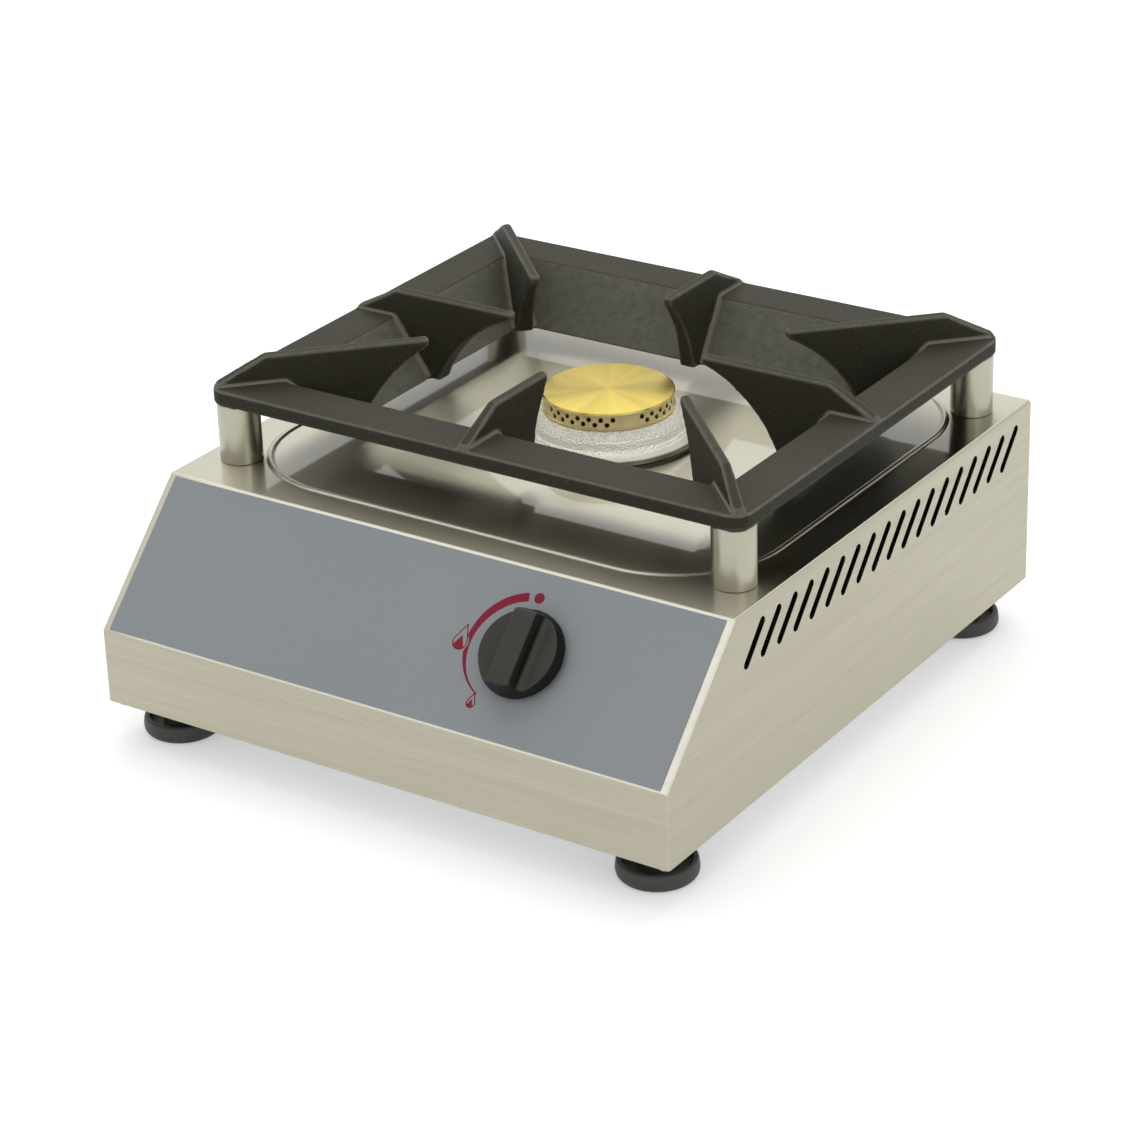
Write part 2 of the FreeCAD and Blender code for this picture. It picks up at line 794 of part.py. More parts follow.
burner_body = burner_body.cut(small_round(burner_bore_radius, bore_length, down * 2 * sheet, up, spigot_flats))
lug_radius = (head_rim - burner_bore_radius) / 2
for step in range(cap_lug_count):
    turn = 2 * math.pi * step / cap_lug_count
    lug_place = FreeCAD.Vector(math.cos(turn), math.sin(turn), 0) * (head_rim - lug_radius)
    lug_foot = lug_place + up * (burner_head_height - cap_lug_root)
    lug = small_round(lug_radius * math.cos(math.pi / 6), cap_lug_rise + cap_lug_root, lug_foot)
    burner_body = burner_body.fuse(lug)
burner_body.translate(burner_axis)
burner_screw_circle = (burner_bore_radius + spigot_radius) / 2
burner_screw_places = []
for step in range(burner_screw_count):
    turn = 2 * math.pi * step / burner_screw_count + math.pi / 2
    offset = FreeCAD.Vector(math.cos(turn), math.sin(turn), 0) * burner_screw_circle
    burner_screw_places.append(burner_axis + offset - up * (sheet + venturi_flange_thickness))
burner_screw_length = venturi_flange_thickness + burner_screw_depth
for place in burner_screw_places:
    burner_body = burner_body.cut(small_round(sheet_screw_radius + screw_gap, burner_screw_length, place))
export("burner_body", burner_body)
burner_screws = [screw(sheet_screw_radius, burner_screw_length, place, up) for place in burner_screw_places]
export("burner_screws", Part.makeCompound(burner_screws))

cap_roof = cap_height - cap_top_thickness


def cap_outline(radius, z):
    """Ring outline with one flat to each port place of both rows."""
    points = []
    for flat in range(cap_flat_count):
        turn = math.radians(port_blank_angle) + 2 * math.pi * flat / cap_flat_count
        points.append(FreeCAD.Vector(radius * math.cos(turn), radius * math.sin(turn), z))
    return points


burner_cap = tapered([
    cap_outline(cap_radius, 0),
    cap_outline(cap_top_radius, cap_height - cap_edge),
    cap_outline(cap_top_radius - cap_edge, cap_height),
])
burner_cap = burner_cap.cut(polygon_face(cap_outline(cap_bore, 0)).extrude(up * cap_roof))
group_span = 360 / port_group_count
ports = []
for group in range(port_group_count):
    middle = port_blank_angle + group_span * (group + 0.5)
    for row_height, count in ((port_upper_height, group_port_count), (port_lower_height, group_port_count - 1)):
        for step in range(count):
            turn = math.radians(middle + (step - (count - 1) / 2) * 720 / cap_flat_count)
            outward = FreeCAD.Vector(math.cos(turn), math.sin(turn), 0)
            start = outward * (cap_bore - cut_past) + up * row_height
            ports.append(small_round(port_radius, cap_wall + 2 * cut_past, start, outward))
burner_cap = burner_cap.cut(Part.makeCompound(ports))
burner_cap.translate(burner_axis + up * burner_head_height)
export("burner_cap", burner_cap)


# Mixing tube

flange_low = burner_axis - up * (sheet + venturi_flange_thickness)
elbow = FreeCAD.Vector(0, burner_y, venturi_axis_height)
venturi = small_round(venturi_flange_radius, venturi_flange_thickness, flange_low)
neck_length = flange_low.z - elbow.z + venturi_tube_radius
neck_foot = elbow - up * venturi_tube_radius
venturi = venturi.fuse(small_round(venturi_neck_radius, neck_length, neck_foot, up, hidden_flat_count))
flare_start = venturi_tube_length - venturi_mouth_length
tube = tapered([
    flat_ring(venturi_tube_radius, 0, hidden_flat_count),
    flat_ring(venturi_tube_radius, flare_start, hidden_flat_count),
    flat_ring(venturi_mouth_radius, venturi_tube_length, hidden_flat_count),
])
bell = tapered([
    flat_ring(venturi_throat_radius, flare_start, hidden_flat_count),
    flat_ring(venturi_mouth_radius - venturi_wall, venturi_tube_length, hidden_flat_count),
])
venturi = venturi.fuse(placed(tube, elbow, forward)).cut(placed(bell, elbow, forward))
neck_bore = small_round(venturi_neck_radius - venturi_wall, neck_length, elbow, up, hidden_flat_count)
throat = small_round(venturi_throat_radius, venturi_tube_length, elbow, forward, hidden_flat_count)
venturi = venturi.cut(neck_bore).cut(throat)
for place in burner_screw_places:
    venturi = venturi.cut(small_round(sheet_screw_radius + hole_gap, 2 * venturi_flange_thickness, place - up))
export("burner_venturi", venturi)


# Injector, holder and bracket

injector_seat = FreeCAD.Vector(0, holder_back, venturi_axis_height)
injector = hexagon(injector_hex, injector_hex_length, injector_seat, back)
nose_end = injector_hex_length + injector_nose_length
injector = injector.fuse(small_round(injector_nose_radius, nose_end, injector_seat, back, hidden_flat_count))
injector = injector.fuse(small_round(injector_thread_radius, injector_thread_length, injector_seat, forward))
export("injector", injector)

holder_half = holder_size / 2
holder_low = FreeCAD.Vector(-holder_half, holder_front, venturi_axis_height - holder_half)
holder_high = FreeCAD.Vector(holder_half, holder_back, venturi_axis_height + holder_half)
holder_middle = FreeCAD.Vector(0, holder_y, venturi_axis_height)
holder = block(holder_low, holder_high)
holder = holder.fuse(small_round(holder_boss_radius, holder_half + holder_boss_length, holder_middle, right))
gas_way = burner_pipe_radius - pipe_bore_wall
holder = holder.cut(small_round(gas_way, holder_half + holder_boss_length, holder_middle, right))
thread_hole = small_round(injector_thread_radius + screw_gap, injector_thread_length, injector_seat, forward)
holder = holder.cut(thread_hole)
holder_screw_places = []
shelf_low = holder_low.z - bracket_thickness
for side in (-1, 1):
    holder_screw_places.append(FreeCAD.Vector(side * holder_half / 2, holder_y, shelf_low))
holder_screw_length = bracket_thickness + holder_half / 2
for place in holder_screw_places:
    holder = holder.cut(small_round(sheet_screw_radius + screw_gap, holder_screw_length, place))
export("injector_holder", holder)

bracket_half = bracket_width / 2
bracket_back = holder_back + bracket_thickness
bracket = block(
    FreeCAD.Vector(-bracket_half, holder_back, shell_bottom),
    FreeCAD.Vector(bracket_half, bracket_back, holder_low.z))
for level in (shell_bottom, shelf_low):
    bracket = bracket.fuse(block(
        FreeCAD.Vector(-bracket_half, bracket_back - bracket_foot_length, level),
        FreeCAD.Vector(bracket_half, bracket_back, level + bracket_thickness)))
bracket = bracket.removeSplitter()
for place in bracket_screw_places:
    bracket = bracket.cut(small_round(sheet_screw_radius + screw_gap, sheet_screw_length, place))
for place in holder_screw_places:
    bracket = bracket.cut(small_round(sheet_screw_radius + hole_gap, sheet_screw_length, place - up))
export("injector_bracket", bracket)
bracket_screws = [screw(sheet_screw_radius, sheet_screw_length, place, up) for place in bracket_screw_places]
bracket_screws += [screw(sheet_screw_radius, holder_screw_length, place, up) for place in holder_screw_places]
export("bracket_screws", Part.makeCompound(bracket_screws))


# Gas tap, drawn along its own axis with z = 0 at the face of the slope

body_low = -sheet - tap_body_length
plug_low = -plug_top_depth - plug_length
chamber_top = -sheet - tap_bonnet_thickness
port_level = down * tap_port_depth
tap_body = small_round(tap_body_radius, tap_body_length, up * body_low)
tap_body = tap_body.fuse(small_round(tap_inlet_boss_radius, tap_boss_reach, port_level, right))
tap_body = tap_body.fuse(small_round(tap_outlet_boss_radius, tap_boss_reach, port_level, left))
tap_body = tap_body.fuse(rod(tap_neck_radius, sheet + tap_neck_top, down * sheet))
tap_body = tap_body.cut(rod(plug_radius + running_gap, chamber_top - plug_low, up * plug_low))
tap_body = tap_body.cut(rod(spindle_radius + running_gap, 2 * tap_neck_top - chamber_top, up * chamber_top))
port_depth = tap_boss_reach - plug_radius - tap_port_wall
inlet_port = port_level + right * tap_boss_reach
outlet_port = port_level + left * tap_boss_reach
tap_body = tap_body.cut(small_round(supply_pipe_radius - pipe_bore_wall, port_depth, inlet_port, left))
tap_body = tap_body.cut(small_round(gas_way, port_depth, outlet_port, right))
magnet_room = small_round(magnet_stud_radius + screw_gap, magnet_stud_length, up * body_low)
tap_body = tap_body.cut(magnet_room)
export("gas_tap_body", at_tap(tap_body))

slot_low = -plug_top_depth - plug_length / 3
tang_width = plug_slot_width - 2 * plug_slot_gap
plug = rod(plug_radius, plug_length, up * plug_low)
plug = plug.cut(block(
    FreeCAD.Vector(-plug_slot_width / 2, -plug_radius - cut_past, slot_low),
    FreeCAD.Vector(plug_slot_width / 2, plug_radius + cut_past, 0)))
export("tap_plug", at_tap(plug))

collar_low = -spindle_collar_depth - spindle_collar_thickness
tang_low = slot_low + knob_push + spindle_tang_gap
spindle = rod(spindle_radius, spindle_top - collar_low, up * collar_low)
spindle = spindle.fuse(small_round(spindle_collar_radius, spindle_collar_thickness, up * collar_low))
spindle = spindle.fuse(block(
    FreeCAD.Vector(-tang_width / 2, -spindle_radius, tang_low),
    FreeCAD.Vector(tang_width / 2, spindle_radius, collar_low)))
hub_low = knob_panel_gap + knob_push + spindle_hub_gap
spindle = spindle.cut(block(
    FreeCAD.Vector(-spindle_radius, -spindle_radius, hub_low),
    FreeCAD.Vector(spindle_radius, -spindle_radius + spindle_flat, spindle_top + cut_past)))
export("tap_spindle", at_tap(spindle))

tap_nut = hexagon(tap_nut_hex, tap_nut_height)
tap_nut = tap_nut.cut(small_round(tap_neck_radius + screw_gap, tap_nut_height))
export("tap_nut", at_tap(tap_nut))

magnet = small_round(magnet_stud_radius, magnet_stud_length, up * body_low)
magnet = magnet.fuse(hexagon(magnet_hex, magnet_length, up * (body_low - magnet_length)))
tail_low = body_low - magnet_length - magnet_tail_length
magnet = magnet.fuse(small_round(magnet_tail_radius, magnet_tail_length, up * tail_low))
export("safety_magnet", at_tap(magnet.removeSplitter()))


# Knob

knob_top = knob_panel_gap + knob_height
floor_height = knob_panel_gap + knob_roof + knob_wall / 2
knob = turned([
    (0, knob_panel_gap),
    (knob_radius, knob_panel_gap),
    (knob_radius, knob_panel_gap + knob_skirt_height),
    (knob_rim_radius, knob_panel_gap + knob_rim_height),
    (knob_top_radius, knob_top - knob_edge_drop),
    (knob_top_radius - knob_edge_width, knob_top),
    (0, knob_top),
])
nut_room = (tap_nut_hex / math.sqrt(3) + knob_nut_gap) / math.cos(math.pi / 6)
knob = knob.cut(small_round(nut_room, knob_roof - knob_wall / 2, up * knob_panel_gap))
knob = knob.fuse(small_round(knob_hub_radius, floor_height - hub_low, up * hub_low))
bar_half = knob_bar_width / 2
scoop_start = bar_half + knob_scoop_lean
scoop_bend = knob_scoop_round * (1 - math.sqrt(0.5))
scoop_end = knob_radius + cut_past
for side in (-1, 1):
    wall_foot = FreeCAD.Vector(side * scoop_start, -scoop_end, floor_height + knob_scoop_round)
    bend_point = FreeCAD.Vector(side * (scoop_start + scoop_bend), -scoop_end, floor_height + scoop_bend)
    floor_start = FreeCAD.Vector(side * (scoop_start + knob_scoop_round), -scoop_end, floor_height)
    rim_point = FreeCAD.Vector(side * scoop_end, -scoop_end, floor_height + knob_scoop_rise)
    above_rim = FreeCAD.Vector(side * scoop_end, -scoop_end, knob_top + cut_past)
    above_bar = FreeCAD.Vector(side * bar_half, -scoop_end, knob_top + cut_past)
    scoop_edges = [
        Part.LineSegment(above_bar, wall_foot).toShape(),
        Part.Arc(wall_foot, bend_point, floor_start).toShape(),
        Part.LineSegment(floor_start, rim_point).toShape(),
        Part.LineSegment(rim_point, above_rim).toShape(),
        Part.LineSegment(above_rim, above_bar).toShape(),
    ]
    scoop = Part.Face(Part.Wire(scoop_edges)).extrude(back * (2 * scoop_end))
    knob = knob.cut(scoop)
bore_length = spindle_top + 2 * running_gap - hub_low
knob_bore = rod(spindle_radius + running_gap, bore_length, up * hub_low)
flat_place = -spindle_radius + spindle_flat - running_gap
knob_bore = knob_bore.cut(block(
    FreeCAD.Vector(-spindle_radius - cut_past, -spindle_radius - cut_past, hub_low),
    FreeCAD.Vector(spindle_radius + cut_past, flat_place, spindle_top + cut_past)))
knob = knob.cut(knob_bore)
export("knob", at_tap(knob))


# Pipes, nuts and inlet

def pipe_nut(across_flats, pipe_radius, place, axis):
    nut = hexagon(across_flats, pipe_nut_length, place, axis)
    return nut.cut(small_round(pipe_radius + screw_gap, pipe_nut_length, place, axis))


tap_outlet = from_tap(tap_port_depth, -tap_boss_reach)
holder_inlet = holder_middle + right * (holder_half + holder_boss_length)
straight = pipe_nut_length + burner_pipe_bend
burner_pipe_points = [
    tap_outlet,
    tap_outlet + left * straight,
    holder_inlet + right * straight,
    holder_inlet,
]
export("burner_pipe", bent_bar(burner_pipe_points, burner_pipe_bend, burner_pipe_radius, 6))

inlet_inner_end = inlet_place + forward * inlet_inside_length
supply_pipe_points = [
    tap_inlet,
    FreeCAD.Vector(inlet_x, tap_inlet.y, tap_inlet.z),
    inlet_inner_end,
]
export("supply_pipe", bent_bar(supply_pipe_points, supply_pipe_bend, supply_pipe_radius))

pipe_nuts = [
    pipe_nut(burner_nut_hex, burner_pipe_radius, tap_outlet, left),
    pipe_nut(burner_nut_hex, burner_pipe_radius, holder_inlet, right),
    pipe_nut(supply_nut_hex, supply_pipe_radius, tap_inlet, right),
    pipe_nut(supply_nut_hex, supply_pipe_radius, inlet_inner_end, forward),
]
export("pipe_nuts", Part.makeCompound(pipe_nuts))

inlet = small_round(inlet_stub_radius, inlet_inside_length, inlet_place, forward)
inlet = inlet.fuse(hexagon(inlet_hex, inlet_hex_length, inlet_place, back))
thread_start = inlet_place + back * inlet_hex_length
inlet = inlet.fuse(rod(inlet_thread_radius, inlet_thread_length, thread_start, back))
inlet = inlet.cut(small_round(inlet_bore_radius, inlet_thread_length, thread_start, back))
export("gas_inlet", inlet)

locknut_face = inlet_place + forward * sheet
locknut = hexagon(inlet_hex, locknut_thickness, locknut_face, forward)
locknut = locknut.cut(small_round(inlet_stub_radius + screw_gap, locknut_thickness, locknut_face, forward))
export("inlet_locknut", locknut)


# Thermocouple with its lead to the safety magnet

probe_low = thermocouple_place - up * (sheet + nut_height + thermocouple_tail)
probe_length = thermocouple_place.z + thermocouple_rise - probe_low.z
probe = small_round(thermocouple_radius, probe_length, probe_low)
tail_end = from_tap(-tail_low)
lead_level = shell_bottom + lead_height
lead_turn = tail_end - slope_out * ((tail_end.z - lead_level) / slope_out.z)
lead = bent_bar([
    probe_low,
    FreeCAD.Vector(probe_low.x, probe_low.y, lead_level),
    lead_turn,
    tail_end,
], lead_bend, lead_radius, 6)
export("thermocouple", probe.fuse(lead))

nut_face = thermocouple_place - up * sheet
thermocouple_nut = hexagon(thermocouple_nut_hex, nut_height, nut_face, down)
nut_hole = small_round(thermocouple_radius + screw_gap, nut_height, nut_face, down)
thermocouple_nut = thermocouple_nut.cut(nut_hole)
export("thermocouple_nut", thermocouple_nut)
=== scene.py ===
import math

import bmesh
import bpy
from mathutils import Matrix, Vector


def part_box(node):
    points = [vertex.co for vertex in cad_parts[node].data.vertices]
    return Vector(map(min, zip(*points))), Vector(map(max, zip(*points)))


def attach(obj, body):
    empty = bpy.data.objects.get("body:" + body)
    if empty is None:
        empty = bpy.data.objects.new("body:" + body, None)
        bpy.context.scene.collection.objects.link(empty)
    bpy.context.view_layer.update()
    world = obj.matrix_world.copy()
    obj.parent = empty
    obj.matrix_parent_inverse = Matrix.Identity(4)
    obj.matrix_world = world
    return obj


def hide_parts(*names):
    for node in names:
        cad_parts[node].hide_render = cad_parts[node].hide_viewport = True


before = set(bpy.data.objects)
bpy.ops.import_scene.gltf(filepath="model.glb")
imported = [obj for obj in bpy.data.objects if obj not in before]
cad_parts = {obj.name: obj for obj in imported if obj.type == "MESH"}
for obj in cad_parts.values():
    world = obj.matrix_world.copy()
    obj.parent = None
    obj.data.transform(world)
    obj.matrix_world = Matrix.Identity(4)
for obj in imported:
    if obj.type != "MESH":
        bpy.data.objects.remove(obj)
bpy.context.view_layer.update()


# Body shell
# The housing is folded from 1.2 mm brushed stainless sheet: front lip, sloped panel and top are one strip,
# and the two sides are welded on, with the corners ground round. Slots, holes and the bead are pressed in.

mm = 0.001
hardly = 0.05 * mm
right = Vector((1, 0, 0))
back = Vector((0, 1, 0))
up = Vector((0, 0, 1))
sheet = 1.2 * mm
fold_radius = 2.2 * mm
fold_share = 0.42
lip_height = 45 * mm
slope_depth = 70 * mm
return_width = 14 * mm
shell_low, shell_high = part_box("body_shell")
half_width = shell_high.x
top_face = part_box("posts")[0].z
lip_top = shell_low.z + lip_height
slope_rise = top_face - lip_top
slope_length = math.hypot(slope_depth, slope_rise)
slope_up = Vector((0, slope_depth, slope_rise)) / slope_length
slope_out = Vector((0, -slope_rise, slope_depth)) / slope_length
slope_foot = Vector((0, shell_low.y, lip_top))
burner_low, burner_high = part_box("burner_body")
burner_axis = Vector(((burner_low.x + burner_high.x) / 2, (burner_low.y + burner_high.y) / 2, top_face))


def mesh_of(bm, name):
    """Mesh from a finished bmesh, with its faces turned outwards."""
    bmesh.ops.recalc_face_normals(bm, faces=bm.faces[:])
    mesh = bpy.data.meshes.new(name)
    bm.to_mesh(mesh)
    bm.free()
    return mesh


def drawn_out(outline, travel):
    """Closed solid from a flat outline of points, drawn out along travel."""
    bm = bmesh.new()
    near = [bm.verts.new(point) for point in outline]
    far = [bm.verts.new(point + travel) for point in outline]
    bm.faces.new(near)
    bm.faces.new(far[::-1])
    for index in range(len(outline)):
        after = (index + 1) % len(outline)
        bm.faces.new((near[index], far[index], far[after], near[after]))
    return bm


def bridged(bm, rings):
    """Faces between each closed ring of points and the next. A ring may be a single point."""
    for ring, after in zip(rings, rings[1:]):
        steps = max(len(ring), len(after))
        for index in range(steps):
            beside = (index + 1) % steps
            corners = [ring[index % len(ring)], ring[beside % len(ring)]]
            corners += [after[beside % len(after)], after[index % len(after)]]
            bm.faces.new(list(dict.fromkeys(corners)))


def disc(centre, radius, across, along, steps):
    """Points of a circle round centre, in the plane of two unit directions."""
    points = []
    for step in range(steps):
        turn = 2 * math.pi * step / steps
        points.append(centre + (across * math.cos(turn) + along * math.sin(turn)) * radius)
    return points


def gathered(solids, name):
    """One mesh holding several finished solids."""
    whole = bmesh.new()
    for solid in solids:
        part = mesh_of(solid, "part") if isinstance(solid, bmesh.types.BMesh) else solid
        whole.from_mesh(part)
        bpy.data.meshes.remove(part)
    return mesh_of(whole, name)


def worked(mesh, kind, **settings):
    """The mesh after one modifier of that kind."""
    blank = bpy.data.objects.new("blank", mesh)
    bpy.context.scene.collection.objects.link(blank)
    step = blank.modifiers.new(kind, kind)
    for name, value in settings.items():
        setattr(step, name, value)
    graph = bpy.context.evaluated_depsgraph_get()
    result = bpy.data.meshes.new_from_object(blank.evaluated_get(graph))
    result.name = mesh.name
    bpy.data.objects.remove(blank)
    bpy.data.meshes.remove(mesh)
    return result


def cut_out(mesh, tool, operation="DIFFERENCE"):
    """The mesh with the tool's volume taken out of it, or for INTERSECT with only that volume left."""
    punch = bpy.data.objects.new("punch", tool)
    bpy.context.scene.collection.objects.link(punch)
    result = worked(mesh, "BOOLEAN", operation=operation, solver="EXACT", object=punch)
    bpy.data.objects.remove(punch)
    bpy.data.meshes.remove(tool)
    return result


def smoothed(mesh, angle):
    """Soft shading, kept crisp at edges that turn more than the angle."""
    mesh.shade_smooth()
    mesh.set_sharp_from_angle(angle=math.radians(angle))
    return mesh


def fitted(name, mesh, finish, body, slot_name, *nodes, place=(0, 0, 0)):
    """Puts a finished mesh in the scene on its body, in place of the nodes it stands for."""
    piece = bpy.data.objects.new(name, mesh)
    piece.location = place
    bpy.context.scene.collection.objects.link(piece)
    mesh.materials.clear()
    mesh.materials.append(finish)
    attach(piece, body)
    if nodes:
        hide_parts(*nodes)
    return piece


def shell_outline(inset, side):
    """Side view of the housing, drawn in by an inset, at that place across the width."""
    front = shell_low.y + inset
    top = top_face - inset
    shift = inset * slope_length
    fold_low = lip_top + (inset * slope_rise - shift) / slope_depth
    fold_back = shell_low.y + (shift + (slope_rise - inset) * slope_depth) / slope_rise
    bottom = shell_low.z + inset
    rear = shell_high.y - inset
    places = [(front, bottom), (front, fold_low), (fold_back, top), (rear, top), (rear, bottom)]
    return [Vector((side, y, z)) for y, z in places]


def box_cutter(low, high):
    """Block between two corners."""
    corners = [(low.y, low.z), (high.y, low.z), (high.y, high.z), (low.y, high.z)]
    return drawn_out([Vector((low.x, y, z)) for y, z in corners], Vector((high.x - low.x, 0, 0)))


blank = drawn_out(shell_outline(0, -half_width), Vector((2 * half_width, 0, 0)))
fold_weight = blank.edges.layers.float.new("bevel_weight_edge")
for edge in blank.edges:
    ends = edge.verts
    at_bottom = all(vert.co.z < shell_low.z + hardly for vert in ends)
    at_rear = all(vert.co.y > shell_high.y - hardly for vert in ends)
    if not at_bottom and not at_rear:
        along_front = abs(ends[0].co.x - ends[1].co.x) > hardly
        edge[fold_weight] = fold_share if along_front else 1.0
shell = worked(mesh_of(blank, "shell"), "BEVEL", width=fold_radius, segments=5, limit_method="WEIGHT")
inside_half = half_width - sheet
inside = drawn_out(shell_outline(sheet, -inside_half), Vector((2 * inside_half, 0, 0)))
shell = cut_out(shell, mesh_of(inside, "inside"))

slot_count = 18
slot_length = 30.3 * mm
slot_radius = 2.8 * mm
slot_end_points = 10
slot_lean = math.radians(41)
slot_below_top = 9.1 * mm
slot_behind_fold = 7.0 * mm
slot_before_rear = 17.4 * mm
rear_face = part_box("rear_panel")[1].y
along_slot = Vector((0, math.sin(slot_lean), math.cos(slot_lean)))
across_slot = Vector((0, math.cos(slot_lean), -math.sin(slot_lean)))
slot_span = along_slot * (slot_length - 2 * slot_radius)
slot_room = rear_face - shell_low.y - slope_depth - slot_behind_fold - slot_before_rear
slot_pitch = (slot_room - 2 * slot_radius - slot_span.y) / (slot_count - 1)
first_slot = Vector((
    -half_width - sheet,
    shell_low.y + slope_depth + slot_behind_fold + slot_radius,
    top_face - slot_below_top - slot_radius - slot_span.z,
))
punches = []
for index in range(slot_count):
    low_end = first_slot + Vector((0, index * slot_pitch, 0))
    outline = []
    for step in range(2 * slot_end_points):
        turn = math.pi * (step + 0.5) / slot_end_points
        end = low_end + slot_span if step < slot_end_points else low_end
        outline.append(end + (across_slot * math.cos(turn) + along_slot * math.sin(turn)) * slot_radius)
    punches.append(drawn_out(outline, Vector((2 * half_width + 2 * sheet, 0, 0))))
burner_hole = 45 * mm
probe_hole = 2.0 * mm
probe_turn = math.radians(130)
probe_circle = 57.5 * mm
probe_place = burner_axis + Vector((math.cos(probe_turn), math.sin(probe_turn), 0)) * probe_circle
for place, radius in ((burner_axis, burner_hole), (probe_place, probe_hole)):
    punches.append(drawn_out(disc(place - up * 2 * sheet, radius, right, back, 64), up * 4 * sheet))
tap_climb = 51 * mm
tap_hole = 7.7 * mm
knob_low, knob_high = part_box("knob")
tap_place = slope_foot + slope_up * tap_climb + right * (knob_low.x + knob_high.x) / 2
tap_rim = disc(tap_place - slope_out * 2 * sheet, tap_hole, right, slope_up, 48)
punches.append(drawn_out(tap_rim, slope_out * 4 * sheet))
shell = cut_out(shell, gathered(punches, "punches"))
open_half = half_width - return_width
openings = [
    box_cutter(
        Vector((-open_half, shell_low.y + return_width, shell_low.z - sheet)),
        Vector((open_half, shell_high.y - return_width, shell_low.z + 2 * sheet))),
    box_cutter(
        Vector((-open_half, shell_high.y - 2 * sheet, shell_low.z + return_width)),
        Vector((open_half, shell_high.y + sheet, top_face - return_width))),
]
shell = cut_out(shell, gathered(openings, "openings"))


def bead_line(half_x, half_y, corner, steps):
    """Closed line of a rounded rectangle round the burner: each point with its outward direction."""
    line = []
    quarters = (((1, 1), 0), ((-1, 1), 90), ((-1, -1), 180), ((1, -1), 270))
    for (side_x, side_y), start in quarters:
        middle = Vector((side_x * (half_x - corner), side_y * (half_y - corner), 0))
        for step in range(steps + 1):
            turn = math.radians(start + 90 * step / steps)
            outward = Vector((math.cos(turn), math.sin(turn), 0))
            line.append((burner_axis + middle + outward * corner, outward))
    return line


bead_half_width = 2.7 * mm
bead_rise = 1.1 * mm
bead_half_x = 166.2 * mm
bead_half_y = 150.95 * mm
bead_corner = 64.8 * mm
bead_steps = 14
bead_root = -0.4
bead_section = []
for step in range(bead_steps + 1):
    across = -1 + 2 * step / bead_steps
    bead_section.append((across, 0.5 + 0.5 * math.cos(math.pi * across)))
bead_section += [(1, bead_root), (-1, bead_root)]
bead = bmesh.new()
rings = []
for point, outward in bead_line(bead_half_x, bead_half_y, bead_corner, 16):
    ring = []
    for across, rise in bead_section:
        ring.append(bead.verts.new(point + outward * across * bead_half_width + up * rise * bead_rise))
    rings.append(ring)
bridged(bead, rings + rings[:1])
shell = smoothed(gathered([shell, bead], "body_shell_sheet"), 34)


def put(tree, kind, inputs=None, **settings):
    """Adds a shader node: inputs are set, or joined where a socket is given."""
    made = tree.nodes.new("ShaderNode" + kind)
    for name, value in settings.items():
        setattr(made, name, value)
    for socket, value in (inputs or {}).items():
        if isinstance(value, bpy.types.NodeSocket):
            tree.links.new(value, made.inputs[socket])
        else:
            made.inputs[socket].default_value = value
    return made


def math_node(tree, operation, first, second=0.0):
    return put(tree, "Math", {0: first, 1: second}, operation=operation).outputs[0]


def times(tree, first, second):
    return math_node(tree, "MULTIPLY", first, second)


def ranged(tree, value, low, high, to_low, to_high):
    """Value brought from one range to another, held at both ends."""
    inputs = {"Value": value, "From Min": low, "From Max": high, "To Min": to_low, "To Max": to_high}
    return put(tree, "MapRange", inputs).outputs[0]


def mixed(tree, share, first, second):
    """Colour between two colours."""
    return put(tree, "Mix", {0: share, 6: first, 7: second}, data_type="RGBA").outputs[2]


def noise(tree, place, scale, detail, roughness=0.5):
    inputs = {"Vector": place, "Scale": scale, "Detail": detail, "Roughness": roughness}
    return put(tree, "TexNoise", inputs).outputs["Fac"]


def place_on(tree):
    """Place on the piece, in its own frame."""
    return put(tree, "TexCoord").outputs["Object"]


def facing_of(tree):
    """Way that the surface faces."""
    return put(tree, "NewGeometry").outputs["Normal"]


def axes_of(tree, vector):
    return put(tree, "SeparateXYZ", {0: vector}).outputs


def bumped(tree, height, strength, distance):
    """Normal of a surface that stands up by a height."""
    return put(tree, "Bump", {"Height": height, "Strength": strength, "Distance": distance}).outputs[0]


def feed(tree, sockets, **results):
    """Joins results to the sockets of those names."""
    for label, result in results.items():
        tree.links.new(result, sockets[label.replace("_", " ")])


def effect(name, inputs, outputs):
    """Shader node group with named inputs and outputs."""
    group = bpy.data.node_groups.new(name, "ShaderNodeTree")
    for label, value in inputs.items():
        socket = group.interface.new_socket(label, in_out="INPUT", socket_type="NodeSocketFloat")
        socket.default_value = value
    for label in outputs:
        group.interface.new_socket(label, in_out="OUTPUT", socket_type="NodeSocketFloat")
    return group, group.nodes.new("NodeGroupInput").outputs, group.nodes.new("NodeGroupOutput").inputs


def use(tree, group, **values):
    """Places an effect in a material with its own values."""
    made = tree.nodes.new("ShaderNodeGroup")
    made.node_tree = group
    for label, value in values.items():
        made.inputs[label.replace("_", " ")].default_value = value
    return made.outputs


def new_finish(name, **sockets):
    """Material with one shader, whose plain values are set on its own sockets."""
    finish = bpy.data.materials.new(name)
    finish.use_nodes = True
    shader = finish.node_tree.nodes["Principled BSDF"]
    for label, value in sockets.items():
        shader.inputs[label.replace("_", " ")].default_value = value
    return finish, finish.node_tree, shader.inputs


def on_side(tree, facing):
    """1 on faces that look to the left or right, 0 on the others."""
    return math_node(tree, "GREATER_THAN", math_node(tree, "ABSOLUTE", facing["X"]), 0.7)


